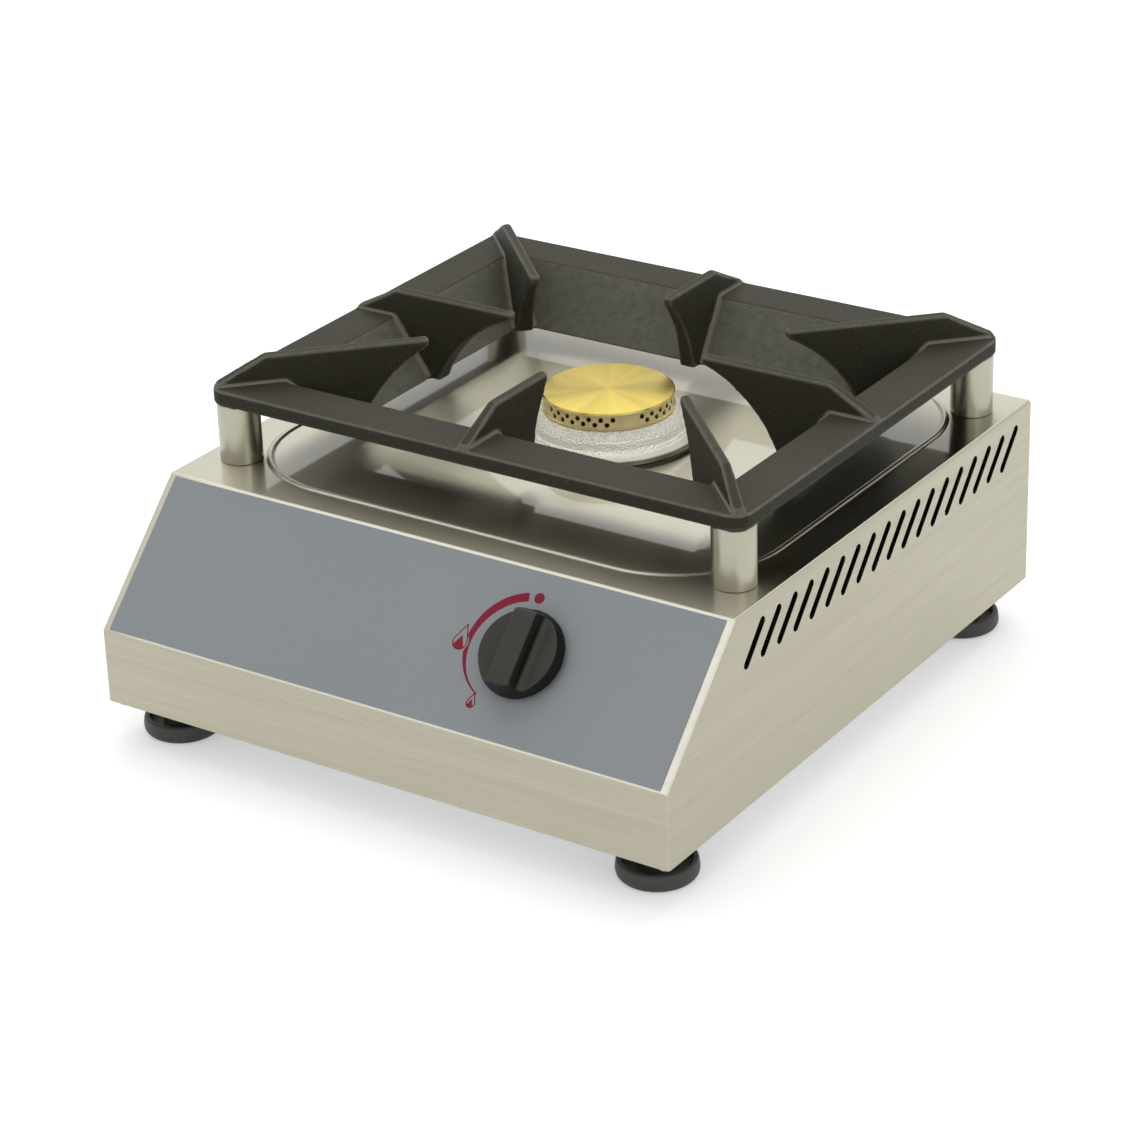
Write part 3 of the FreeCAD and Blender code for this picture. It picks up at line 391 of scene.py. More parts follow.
def brushed_effect():
    """Lines of a brushed sheet: along X on faces that look forwards or up, along Y on the sides."""
    tree, given, result = effect("brushed_lines", {"Fineness": 1.0}, ["Lines", "Streaks"])
    fine_lines, broad_lines, drawn_long = 1500, 260, 0.012
    axes = axes_of(tree, place_on(tree))
    sideways = on_side(tree, axes_of(tree, facing_of(tree)))
    stretched = put(tree, "CombineXYZ", {
        "X": times(tree, axes["X"], ranged(tree, sideways, 0, 1, drawn_long, 1)),
        "Y": times(tree, axes["Y"], ranged(tree, sideways, 0, 1, 1, drawn_long)),
        "Z": axes["Z"],
    }).outputs[0]
    fine = noise(tree, stretched, times(tree, given["Fineness"], fine_lines), 3.0, 0.6)
    broad = noise(tree, stretched, times(tree, given["Fineness"], broad_lines), 2.0)
    feed(
        tree, result,
        Lines=ranged(tree, fine, 0.3, 0.7, 0, 1),
        Streaks=ranged(tree, broad, 0.35, 0.65, 0, 1))
    return tree


def clouds_effect():
    """Soft patches of a size, for handling marks, specks and uneven sheen."""
    tree, given, result = effect("soft_patches", {"Size": 0.08, "Contrast": 0.5}, ["Patches"])
    cloud = noise(tree, place_on(tree), math_node(tree, "DIVIDE", 1.0, given["Size"]), 4.0)
    half = times(tree, given["Contrast"], 0.5)
    low = math_node(tree, "SUBTRACT", 0.5, half)
    high = math_node(tree, "ADD", 0.5, half)
    feed(tree, result, Patches=ranged(tree, cloud, low, high, 0, 1))
    return tree


brushed_lines = brushed_effect()
soft_patches = clouds_effect()
line_dark, line_light = (0.48, 0.455, 0.352, 1), (0.54, 0.515, 0.405, 1)
streak_light = (0.57, 0.54, 0.43, 1)
# Darker tone painted on faces that look up, as painted shade.
top_shade_tone = (0.38, 0.358, 0.262, 1)
# Paler tone painted on the steel of the slope, as a painted highlight.
slope_highlight_tone = (0.76, 0.74, 0.65, 1)
steel, tree, sockets = new_finish(
    "brushed_stainless", Metallic=1.0, Anisotropic=1.0, Coat_Roughness=0.05, Coat_IOR=2.4)
lines = use(tree, brushed_lines, Fineness=1.0)
patches = use(tree, soft_patches, Size=0.12, Contrast=0.5)
outward = facing_of(tree)
facing = axes_of(tree, outward)
flat_top = ranged(tree, facing["Z"], 0.8, 0.98, 0, 1)
on_slope = times(
    tree, ranged(tree, facing["Y"], -0.4, -0.6, 0, 1), ranged(tree, facing["Z"], 0.4, 0.6, 0, 1))
across_width = axes_of(tree, place_on(tree))["X"]
# Painted highlight: the steel of the slope is painted paler, less so along its left edge.
slope_painted_highlight = times(tree, on_slope, ranged(tree, across_width, -0.185, -0.16, 0.2, 0.9))
steel_tone = mixed(tree, lines["Lines"], line_dark, line_light)
steel_tone = mixed(tree, times(tree, lines["Streaks"], 0.25), steel_tone, streak_light)
# Painted shade: faces that look up are painted darker, to offset the extra light their coat reflects.
steel_tone = mixed(tree, times(tree, flat_top, 0.6), steel_tone, top_shade_tone)
steel_tone = mixed(tree, slope_painted_highlight, steel_tone, slope_highlight_tone)
sideways = on_side(tree, facing)
brush_way = put(tree, "CombineXYZ", {"X": math_node(tree, "SUBTRACT", 1.0, sideways), "Y": sideways})
across_brush = put(tree, "VectorMath", {0: outward, 1: brush_way.outputs[0]}, operation="CROSS_PRODUCT")
side_rough = ranged(tree, lines["Streaks"], 0, 1, 0.33, 0.40)
top_rough = ranged(tree, patches["Patches"], 0, 1, 0.30, 0.35)
grain = times(tree, lines["Lines"], ranged(tree, flat_top, 0, 1, 1.0, 0.25))
feed(
    tree, sockets,
    Base_Color=steel_tone,
    Coat_Weight=times(tree, flat_top, 0.7),
    Tangent=across_brush.outputs[0],
    Roughness=put(tree, "Mix", {0: flat_top, 2: side_rough, 3: top_rough}, data_type="FLOAT").outputs[0],
    Normal=bumped(tree, grain, 0.12, 0.00005))
body_shell = fitted("body_shell_sheet", shell, steel, "chassis", "steel_sheet", "body_shell")
level = body_shell.modifiers.new("flat faces stay flat", "WEIGHTED_NORMAL")
level.keep_sharp = True


# Bottom plate and rear panel
# Two flat blanks of sheet, galvanised below and stainless behind, close the housing. They are punched and
# screwed to the folded returns with small pan-head screws.

def spangle_effect():
    """Crystals of a zinc coat, each with its own tone."""
    tree, given, result = effect("zinc_spangle", {"Crystal": 0.006}, ["Tone"])
    scale = math_node(tree, "DIVIDE", 1.0, given["Crystal"])
    cells = put(tree, "TexVoronoi", {"Vector": place_on(tree), "Scale": scale})
    feed(tree, result, Tone=axes_of(tree, cells.outputs["Color"])["X"])
    return tree


zinc_spangle = spangle_effect()
crystal_dark, crystal_light = (0.46, 0.47, 0.48, 1), (0.60, 0.61, 0.62, 1)
haze_tone = (0.52, 0.52, 0.51, 1)
zinc, tree, sockets = new_finish("galvanised_sheet", Metallic=1.0)
spangle = use(tree, zinc_spangle, Crystal=0.007)
haze = use(tree, soft_patches, Size=0.05, Contrast=0.6)
zinc_tone = mixed(tree, spangle["Tone"], crystal_dark, crystal_light)
feed(
    tree, sockets,
    Base_Color=mixed(tree, times(tree, haze["Patches"], 0.3), zinc_tone, haze_tone),
    Roughness=ranged(tree, spangle["Tone"], 0, 1, 0.32, 0.48),
    Normal=bumped(tree, haze["Patches"], 0.1, 0.0001))


def refinish(node, finish):
    """Gives a solid that is shown as it is a finish of this scene."""
    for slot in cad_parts[node].material_slots:
        slot.material = finish


refinish("bottom_plate", zinc)
refinish("rear_panel", steel)


# Screws and nuts
# Zinc-plated pan-head screws with a cross recess, pressed and rolled. They hold the sheet pieces, the
# posts, the feet, the burner and the injector bracket; plain hexagon nuts hold the feet.

def sewn(node):
    """A solid's faces, sewn together."""
    bm = bmesh.new()
    bm.from_mesh(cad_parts[node].data)
    bmesh.ops.remove_doubles(bm, verts=bm.verts[:], dist=0.001 * mm)
    return bm


def separate_places(node):
    """Box of each loose solid of a group, lowest and highest corner."""
    bm = sewn(node)
    waiting = set(bm.verts)
    boxes = []
    while waiting:
        reached = [waiting.pop()]
        for vert in reached:
            for edge in vert.link_edges:
                other = edge.other_vert(vert)
                if other in waiting:
                    waiting.remove(other)
                    reached.append(other)
        low = Vector(min(vert.co[axis] for vert in reached) for axis in range(3))
        high = Vector(max(vert.co[axis] for vert in reached) for axis in range(3))
        boxes.append((low, high))
    bm.free()
    return sorted(boxes, key=lambda box: (round(box[0].x, 4), round(box[0].y, 4)))


def lathe(profile, steps):
    """Closed solid turned about Z from an outline of (radius, height) points."""
    bm = bmesh.new()
    rings = []
    for radius, height in profile:
        middle = Vector((0, 0, height))
        points = disc(middle, radius, right, back, steps) if radius > hardly / 10 else [middle]
        rings.append([bm.verts.new(point) for point in points])
    closed = len(rings[0]) > 1 and len(rings[-1]) > 1
    bridged(bm, rings + rings[:1] if closed else rings)
    return bm


sheet_screw = 2 * mm
large_screw = 3 * mm
head_reach = 1.9
head_rise = 1.1
thread_share = 0.45


def pan_head_screw(radius, length):
    """Screw along +Z: the seat under its head is at z = 0, with the head below it."""
    head = head_reach * radius
    tall = head_rise * radius
    profile = [(0, -tall), (head * 0.62, -tall), (head * 0.86, -tall * 0.86), (head * 0.98, -tall * 0.55)]
    profile += [(head, -tall * 0.2), (head * 0.97, 0), (radius, 0)]
    turns = int(length / (radius * thread_share))
    for step in range(turns):
        height = length * (step + 0.5) / turns
        profile.append((radius, height - length * 0.25 / turns))
        profile.append((radius * 0.84, height + length * 0.2 / turns))
    profile += [(radius * 0.6, length), (0, length)]
    shank = mesh_of(lathe(profile, 20), "shank")
    depth = tall * 0.6
    wide = head * 0.13
    reach = head * 0.5
    low = -tall - hardly
    for half_x, half_y in ((reach, wide), (wide, reach)):
        recess = box_cutter(Vector((-half_x, -half_y, low)), Vector((half_x, half_y, low + depth)))
        shank = cut_out(shank, mesh_of(recess, "recess"))
    return shank


def screw_group(name, node, radius, matrix_at):
    """All screws of a group: matrix_at gives, for a solid's box, its length and where it goes."""
    shapes = {}
    whole = bmesh.new()
    for low, high in separate_places(node):
        length, place = matrix_at(low, high)
        key = round(length / mm, 2)
        if key not in shapes:
            shapes[key] = pan_head_screw(radius, length)
        copy = shapes[key].copy()
        copy.transform(place)
        whole.from_mesh(copy)
        bpy.data.meshes.remove(copy)
    for shape in shapes.values():
        bpy.data.meshes.remove(shape)
    mesh = smoothed(mesh_of(whole, name), 38)
    return fitted(name, mesh, zinc_steel, "chassis", "zinc_steel", node)


def head_below(radius):
    """Screw that points up, with its head below."""
    def place(low, high):
        seat = low.z + head_rise * radius
        middle = (low + high) / 2
        return high.z - seat, Matrix.Translation((middle.x, middle.y, seat))
    return place


def head_behind(low, high):
    """Screw that points forwards, with its head on the back."""
    seat = high.y - head_rise * sheet_screw
    middle = (low + high) / 2
    laid = Matrix.Rotation(math.pi / 2, 4, "X")
    return seat - low.y, Matrix.Translation((middle.x, seat, middle.z)) @ laid


plate_dull, plate_bright = (0.50, 0.51, 0.53, 1), (0.68, 0.69, 0.70, 1)
zinc_steel, tree, sockets = new_finish("zinc_plated_steel", Metallic=1.0)
dull = use(tree, soft_patches, Size=0.004, Contrast=0.7)
feed(
    tree, sockets,
    Base_Color=mixed(tree, dull["Patches"], plate_dull, plate_bright),
    Roughness=ranged(tree, dull["Patches"], 0, 1, 0.22, 0.36))
screw_group("rear_panel_screws", "rear_screws", sheet_screw, head_behind)
for name, node, radius in (
    ("bottom_plate_screws", "bottom_screws", sheet_screw),
    ("injector_bracket_screws", "bracket_screws", sheet_screw),
    ("burner_head_screws", "burner_screws", sheet_screw),
    ("post_fixing_screws", "post_screws", large_screw),
    ("foot_fixing_screws", "foot_screws", large_screw),
):
    screw_group(name, node, radius, head_below(radius))


def hexagon_nut(across_flats, height, hole):
    """Nut along +Z from z = 0, with its corners turned off at both ends."""
    corner = across_flats / math.sqrt(3)
    face = across_flats / 2 * 0.98
    chamfer = (corner - across_flats / 2) * 0.6
    outline = [(0, 0), (face, 0), (corner, chamfer), (corner, height - chamfer), (face, height), (0, height)]
    nut = mesh_of(drawn_out(disc(Vector((0, 0, 0)), corner, right, back, 6), up * height), "nut")
    nut = cut_out(nut, mesh_of(lathe(outline, 48), "turned"), "INTERSECT")
    if hole:
        drill = drawn_out(disc(Vector((0, 0, -height)), hole, right, back, 32), up * 3 * height)
        nut = cut_out(nut, mesh_of(drill, "drill"))
    return nut


foot_nut_flats = 10 * mm
nut_clearance = 1.02
nuts = []
for low, high in separate_places("foot_nuts"):
    nut = hexagon_nut(foot_nut_flats, high.z - low.z, large_screw * nut_clearance)
    middle = (low + high) / 2
    nut.transform(Matrix.Translation((middle.x, middle.y, low.z)))
    nuts.append(nut)
nut_mesh = smoothed(gathered(nuts, "foot_nuts_chamfered"), 30)
fitted("foot_nuts_chamfered", nut_mesh, zinc_steel, "chassis", "zinc_steel", "foot_nuts")


# Printed film
# A grey polyester film with a satin face is stuck on the slope. The dot, the arc and the two drops round
# the knob are printed on it in bordeaux.

def linear(red, green, blue):
    """Colour of three values up to 255, as a colour socket takes it."""
    values = []
    for value in (red, green, blue):
        share = value / 255
        values.append(share / 12.92 if share <= 0.04045 else ((share + 0.055) / 1.055) ** 2.4)
    return (*values, 1)


film, tree, sockets = new_finish("grey_film", Specular_IOR_Level=0.2)
speck = use(tree, soft_patches, Size=0.0009, Contrast=0.8)
tint = use(tree, soft_patches, Size=0.15, Contrast=0.6)
film_tone = mixed(tree, tint["Patches"], linear(140, 146, 149), linear(143, 149, 151))
feed(
    tree, sockets,
    Base_Color=mixed(tree, times(tree, speck["Patches"], 0.12), film_tone, linear(130, 135, 139)),
    Roughness=ranged(tree, speck["Patches"], 0, 1, 0.50, 0.60),
    Normal=bumped(tree, speck["Patches"], 0.06, 0.00005))
refinish("front_overlay", film)

print_ink, tree, sockets = new_finish("bordeaux_ink", Specular_IOR_Level=0.2)
density = use(tree, soft_patches, Size=0.0012, Contrast=0.7)
feed(
    tree, sockets,
    Base_Color=mixed(tree, density["Patches"], linear(124, 22, 46), linear(136, 26, 52)),
    Roughness=ranged(tree, density["Patches"], 0, 1, 0.50, 0.58))
film_face = 0.4 * mm
ink_thickness = 0.05 * mm


def on_film(x, climb):
    """Point of the film's face, x across the front and climb up the slope."""
    return slope_foot + right * x + slope_up * climb + slope_out * (film_face - ink_thickness / 2)


def printed(outline):
    return drawn_out([on_film(x, climb) for x, climb in outline], slope_out * ink_thickness)


def printed_band(sections, closed):
    """Print between two lines: each section holds a point of the one line and a point of the other."""
    band = bmesh.new()
    walls = []
    for first, second in sections:
        feet = [on_film(*first), on_film(*second)]
        faces = [foot + slope_out * ink_thickness for foot in feet]
        walls.append([band.verts.new(corner) for corner in (feet[0], feet[1], faces[1], faces[0])])
    bridged(band, walls + walls[:1] if closed else walls)
    if not closed:
        band.faces.new(walls[0])
        band.faces.new(walls[-1][::-1])
    return band


def drop_outline(x, climb, radius, tip, steps=30):
    """Plain drop: a round foot of that radius, with its tip at tip = (across, above) from its middle."""
    tip_way = math.atan2(tip[1], tip[0])
    tangent = math.acos(radius / math.hypot(*tip))
    points = [(x + tip[0], climb + tip[1])]
    for step in range(steps + 1):
        turn = tip_way + tangent + (2 * math.pi - 2 * tangent) * step / steps
        points.append((x + radius * math.cos(turn), climb + radius * math.sin(turn)))
    return points


drop_line = 0.7 * mm


def flame_drop(x, climb, radius):
    """Drop drawn as a thin line, with its foot filled in up to a point."""
    tip = (0.17 * radius, 2.4 * radius)
    fill_tip = (0.02 * radius, 0.85 * radius)
    fill_from, fill_to, fill_steps = 207, 322, 24
    inside = 1 - drop_line / radius
    outer = drop_outline(x, climb, radius, tip)
    inner = drop_outline(x, climb, radius * inside, (tip[0] * inside, tip[1] * inside))
    fill = [(x + fill_tip[0], climb + fill_tip[1])]
    for step in range(fill_steps + 1):
        turn = math.radians(fill_from + (fill_to - fill_from) * step / fill_steps)
        fill.append((x + math.cos(turn) * radius * inside, climb + math.sin(turn) * radius * inside))
    return [printed_band(list(zip(outer, inner)), True), printed(fill)]


large_drop = (37.2 * mm, 49.3 * mm, 4.7 * mm)
small_drop = (58.0 * mm, 18.4 * mm, 2.85 * mm)
mark_x = 76 * mm
mark_climb = 51 * mm
dot_circle = 32.9 * mm
dot_radius = 3.1 * mm
dot_turn = math.radians(94)
arc_start, arc_end, arc_steps = 105, 238, 64
arc_edges = ((105, 30.7, 35.7), (135, 31.0, 35.9), (152, 31.6, 36.0), (172, 32.3, 35.9),
             (196, 32.5, 35.0), (212, 32.4, 33.9), (238, 31.4, 32.2))
arc_gap = 0.7 * mm
drop_clear = large_drop[2] + arc_gap


def round_mark(turn, reach):
    """Place on the film, at that reach from the middle of the marks."""
    return mark_x + math.cos(turn) * reach, mark_climb + math.sin(turn) * reach


def arc_reach(angle):
    """Inner and outer edge of the arc at that angle, from the nearest rows of its table."""
    for before, after in zip(arc_edges, arc_edges[1:]):
        if angle <= after[0]:
            break
    share = (angle - before[0]) / (after[0] - before[0])
    return [(edge + (edge_after - edge) * share) * mm for edge, edge_after in zip(before[1:], after[1:])]


dot = disc(Vector(round_mark(dot_turn, dot_circle)), dot_radius, Vector((1, 0)), Vector((0, 1)), 40)
arc_sections = []
for step in range(arc_steps + 1):
    angle = arc_start + (arc_end - arc_start) * step / arc_steps
    turn = math.radians(angle)
    inner_reach, outer_reach = arc_reach(angle)
    while math.dist(round_mark(turn, outer_reach), large_drop[:2]) < drop_clear:
        outer_reach -= hardly
    arc_sections.append((round_mark(turn, inner_reach), round_mark(turn, outer_reach)))
marks = [printed(dot), printed_band(arc_sections, False)] + flame_drop(*large_drop) + flame_drop(*small_drop)
fitted("printed_marks", gathered(marks, "printed_marks"), print_ink, "chassis", "panel_film")


# Rubber feet
# Four cups of moulded black rubber, each with a rolled rim and a stem. The screw sunk in each foot bolts it
# through the bottom plate.

rubber, tree, sockets = new_finish("black_rubber", Specular_IOR_Level=0.45)
bloom = use(tree, soft_patches, Size=0.012, Contrast=0.7)
pores = use(tree, soft_patches, Size=0.0011, Contrast=0.8)
feed(
    tree, sockets,
    Base_Color=mixed(tree, bloom["Patches"], linear(54, 54, 50), linear(66, 66, 61)),
    Roughness=ranged(tree, bloom["Patches"], 0, 1, 0.42, 0.6),
    Normal=bumped(tree, pores["Patches"], 0.2, 0.0001))


def rounded(profile, radius, steps=4):
    """Outline with each inner corner turned round, at most by the radius."""
    points = []
    for before, corner, after in zip(profile, profile[1:], profile[2:]):
        corner = Vector(corner)
        to_before = Vector(before) - corner
        to_after = Vector(after) - corner
        reach = min(radius, to_before.length * 0.45, to_after.length * 0.45)
        start = corner + to_before.normalized() * reach
        finish = corner + to_after.normalized() * reach
        for step in range(steps + 1):
            share = step / steps
            first = start.lerp(corner, share)
            points.append(tuple(first.lerp(corner.lerp(finish, share), share)))
    return [profile[0]] + points + [profile[-1]]


def turned(profile, steps):
    """Solid turned from an outline in millimetres."""
    return lathe([(radius * mm, height * mm) for radius, height in profile], steps)


def moved(solid, matrix):
    solid.transform(matrix)
    return solid


def turned_group(node, profile, steps, height):
    """The same turned solid at the place of each solid of a group, standing at that height."""
    solids = []
    for low, high in separate_places(node):
        middle = (low + high) / 2
        solids.append(moved(turned(profile, steps), Matrix.Translation((middle.x, middle.y, height))))
    return solids


foot_profile = [
    (4.0, 0.0), (20.6, 0.0), (22.7, 2.4), (23.0, 5.5), (22.2, 10.4), (19.4, 10.8), (18.5, 4.9), (11.9, 4.5),
    (11.0, 5.6), (11.0, 22.6), (10.0, 23.8), (4.0, 23.8),
]
feet = turned_group("feet", rounded(foot_profile, 1.8), 72, 0)
foot_mesh = smoothed(gathered(feet, "rubber_feet"), 40)
fitted("rubber_feet", foot_mesh, rubber, "chassis", "black_rubber", "feet")


# Posts
# Four lengths of 25 mm bright steel bar, faced and chamfered, with a socket on top for the support's
# spigot. Each is screwed to the top sheet from below.

bright_dark, bright_light = (0.41, 0.392, 0.312, 1), (0.46, 0.44, 0.355, 1)
bright, tree, sockets = new_finish("bright_steel", Metallic=1.0)
turning = use(tree, brushed_lines, Fineness=0.8)
smear = use(tree, soft_patches, Size=0.02, Contrast=0.6)
feed(
    tree, sockets,
    Base_Color=mixed(tree, smear["Patches"], bright_dark, bright_light),
    Roughness=ranged(tree, smear["Patches"], 0, 1, 0.27, 0.31),
    Normal=bumped(tree, turning["Lines"], 0.02, 0.00004))
post_radius = 12.5
post_height = (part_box("posts")[1].z - top_face) / mm
socket_radius = 6.1
socket_floor = post_height - 10.0
post_profile = [
    (0, 0), (post_radius - 0.5, 0), (post_radius, 0.5), (post_radius, post_height - 0.6),
    (post_radius - 0.6, post_height), (socket_radius + 0.5, post_height), (socket_radius, post_height - 0.5),
    (socket_radius, socket_floor), (0, socket_floor),
]
posts = turned_group("posts", post_profile, 64, top_face)
post_mesh = smoothed(gathered(posts, "steel_posts"), 30)
fitted("steel_posts", post_mesh, bright, "chassis", "bright_steel", "posts")


# Gas tap, pipes, injector and inlet
# The brass tap sits behind the slope and feeds a brass injector through a bent aluminium pipe; a wider pipe
# comes from the threaded brass inlet on the back. A zinc-plated bracket carries the injector.

brass, tree, sockets = new_finish("turned_brass", Metallic=1.0)
tarnish = use(tree, soft_patches, Size=0.018, Contrast=0.6)
feed(
    tree, sockets,
    Base_Color=mixed(tree, tarnish["Patches"], (0.58, 0.40, 0.13, 1), (0.75, 0.55, 0.20, 1)),
    Roughness=ranged(tree, tarnish["Patches"], 0, 1, 0.34, 0.22))

pipe_finish, tree, sockets = new_finish("drawn_aluminium", Metallic=1.0)
draw_marks = use(tree, brushed_lines, Fineness=0.7)
feed(
    tree, sockets,
    Base_Color=mixed(tree, draw_marks["Streaks"], (0.60, 0.61, 0.62, 1), (0.74, 0.75, 0.76, 1)),
    Roughness=ranged(tree, draw_marks["Streaks"], 0, 1, 0.26, 0.38))

brass_nodes = (
    "gas_tap_body", "tap_plug", "tap_spindle", "injector", "injector_holder", "pipe_nuts",
    "inlet_locknut", "thermocouple_nut", "safety_magnet",
)
for nodes, finish in (
    (brass_nodes, brass),
    (("injector_bracket", "tap_nut"), zinc_steel),
    (("burner_pipe", "supply_pipe", "thermocouple"), pipe_finish),
):
    for node in nodes:
        refinish(node, finish)

inlet_low, inlet_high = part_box("gas_inlet")
inlet_x = (inlet_low.x + inlet_high.x) / 2
inlet_z = (inlet_low.z + inlet_high.z) / 2
inlet_flats = 27 * mm
hex_length = 6 * mm
bore_radius = 6.5 * mm
bore_floor = 2 * mm
tail_radius, tail_length = 9.5, 24
thread_radius = 10.48 * mm
thread_pitch = 1.814 * mm
thread_depth = 1.1 * mm
thread_length = inlet_high.y - rear_face - hex_length
thread_sink = 0.01 * mm
run_out_rows = 8
columns = 64
rows = int(thread_length / thread_pitch * 12)
thread = bmesh.new()
grid = []
for row in range(rows + 1):
    height = thread_length * row / rows
    run_out = min(1.0, row / run_out_rows, (rows - row) / run_out_rows)
    ring = []
    for column in range(columns):
        turn = 2 * math.pi * column / columns
        phase = (height / thread_pitch + column / columns) % 1
        groove = abs(2 * phase - 1) * thread_depth
        radius = thread_radius - thread_depth * (1 - run_out) - groove * run_out
        ring.append(thread.verts.new((radius * math.cos(turn), radius * math.sin(turn), height)))
    grid.append(ring)
for height in (thread_length, bore_floor):
    bore = disc(Vector((0, 0, height)), bore_radius, right, back, columns)
    grid.append([thread.verts.new(point) for point in bore])
bridged(thread, grid)
thread.faces.new(grid[0][::-1])
thread.faces.new(grid[-1])
to_back = Matrix.Translation((inlet_x, rear_face, inlet_z)) @ Matrix.Rotation(-math.pi / 2, 4, "X")
tail = turned([(0, 0), (tail_radius, 0), (tail_radius, tail_length), (0, tail_length)], 48)
inlet_nut = hexagon_nut(inlet_flats, hex_length, 0)
inlet_nut.transform(to_back)
inlet_parts = [
    moved(thread, to_back @ Matrix.Translation((0, 0, hex_length - thread_sink))),
    moved(tail, to_back @ Matrix.Translation((0, 0, -tail_length * mm))),
    inlet_nut,
]
inlet_mesh = smoothed(gathered(inlet_parts, "gas_inlet_threaded"), 32)
fitted("gas_inlet_threaded", inlet_mesh, brass, "chassis", "brass", "gas_inlet")


# Burner head
# A cast aluminium ring with a turned flange, sitting on the edge of the hole in the top sheet. The sloping
# shoulder keeps its rough casting skin. The mixing tube under it is the same alloy.

def casting_effect():
    """Skin of a sand casting: grains of two sizes, and the tips of the grains, where painted glints go."""
    tree, given, result = effect("casting_skin", {"Grain": 0.0012}, ["Height", "Tips"])
    place = place_on(tree)
    scale = math_node(tree, "DIVIDE", 1.0, given["Grain"])
    fine = noise(tree, place, scale, 3.0, 0.6)
    broad = noise(tree, place, times(tree, scale, 0.16), 2.0)
    cells = put(tree, "TexVoronoi", {"Vector": place, "Scale": scale})
    pits = ranged(tree, cells.outputs["Distance"], 0.1, 0.6, 0, 1)
    grains = math_node(tree, "ADD", times(tree, fine, 0.6), times(tree, pits, 0.3))
    feed(
        tree, result,
        Height=math_node(tree, "ADD", grains, times(tree, broad, 0.5)),
        Tips=ranged(tree, fine, 0.56, 0.68, 0, 1))
    return tree


def band(tree, value, rise, fall):
    """1 between two limits: it comes in over the pair of rise and goes out over the pair of fall."""
    return times(tree, ranged(tree, value, *rise, 0, 1), ranged(tree, value, *fall[::-1], 0, 1))


casting_skin = casting_effect()
flange_dark, flange_light = (0.25, 0.24, 0.20, 1), (0.34, 0.326, 0.272, 1)
skin_tone = (0.72, 0.69, 0.59, 1)
# Tones of the painted shade in the grain's low spots and of the painted glints on its tips.
pit_shade_tone = (0.16, 0.153, 0.128, 1)
glint_tone = (0.95, 0.92, 0.82, 1)
# Tone of the painted highlight on the steep wall under the shoulder.
ridge_highlight_tone = (0.93, 0.90, 0.79, 1)
cast_alloy, tree, sockets = new_finish("cast_aluminium")
skin = use(tree, casting_skin, Grain=0.0011)
stain = use(tree, soft_patches, Size=0.015, Contrast=0.6)
height_above = axes_of(tree, place_on(tree))["Z"]
rough_band = band(tree, height_above, (0.0062, 0.0082), (0.0180, 0.0195))
on_crown = times(tree, rough_band, ranged(tree, height_above, 0.0128, 0.0142, 0, 1))
# Painted highlight: the steep wall under the shoulder is painted near white and made less metallic.
ridge_painted_highlight = band(tree, height_above, (0.0078, 0.0090), (0.0128, 0.0142))
# Painted shade: the low spots of the grain on the crown are painted dark.
pits = times(tree, ranged(tree, skin["Height"], 0.5, 0.35, 0, 0.75), on_crown)
alloy_tone = mixed(tree, stain["Patches"], flange_dark, flange_light)
alloy_tone = mixed(tree, rough_band, alloy_tone, skin_tone)
alloy_tone = mixed(tree, pits, alloy_tone, pit_shade_tone)
# Painted glints: the tips of the grain on the crown are painted bright.
alloy_tone = mixed(tree, times(tree, skin["Tips"], on_crown), alloy_tone, glint_tone)
bump_height = times(tree, skin["Height"], ranged(tree, rough_band, 0, 1, 0.06, 1.0))
feed(
    tree, sockets,
    Base_Color=mixed(tree, ridge_painted_highlight, alloy_tone, ridge_highlight_tone),
    Metallic=ranged(tree, math_node(tree, "MAXIMUM", on_crown, ridge_painted_highlight), 0, 1, 1.0, 0.4),
    Roughness=ranged(tree, rough_band, 0, 1, 0.30, 0.34),
    Normal=bumped(tree, bump_height, 1.0, 0.001))

burner_profile = [
    (30.0, -1.2), (44.4, -1.2), (44.4, 0.0), (50.5, 0.0), (50.5, 2.0), (53.4, 2.0), (54.0, 2.6), (54.0, 5.0),
    (53.2, 5.6), (48.4, 7.7), (46.9, 9.0), (45.7, 12.8), (44.6, 14.3), (40.4, 18.0), (39.6, 18.2),
    (30.0, 18.2),
]
burner = turned(rounded(burner_profile, 1.0, 3), 128)
burner_mesh = smoothed(mesh_of(burner, "burner_head"), 40)
fitted("burner_head", burner_mesh, cast_alloy, "chassis", "cast_aluminium", "burner_body", place=burner_axis)
refinish("burner_venturi", cast_alloy)


# Burner cap
# A brass crown turned from bar, with two staggered rows of drilled flame ports. It lies loose on the burner
# head and lifts off.

def turned_effect():
    """Fine rings left by the lathe round the piece's own axis, and spokes of painted sheen across them."""
    tree, given, result = effect("turned_rings", {"Pitch": 0.0004}, ["Rings", "Spokes"])
    place = axes_of(tree, place_on(tree))
    squares = [times(tree, place[axis], place[axis]) for axis in ("X", "Y")]
    radius = math_node(tree, "SQRT", math_node(tree, "ADD", *squares))
    spread = put(tree, "CombineXYZ", {"X": math_node(tree, "DIVIDE", radius, given["Pitch"])})
    way = math_node(tree, "ARCTAN2", place["Y"], place["X"])
    cosine, sine = (math_node(tree, kind, way) for kind in ("COSINE", "SINE"))
    round_way = put(tree, "CombineXYZ", {"X": cosine, "Y": sine})
    rings = noise(tree, spread.outputs[0], 1.0, 2.0)
    spokes = noise(tree, round_way.outputs[0], 3.4, 3.0, 0.65)
    feed(
        tree, result,
        Rings=ranged(tree, rings, 0.3, 0.7, 0, 1),
        Spokes=ranged(tree, spokes, 0.38, 0.62, 0, 1))
    return tree


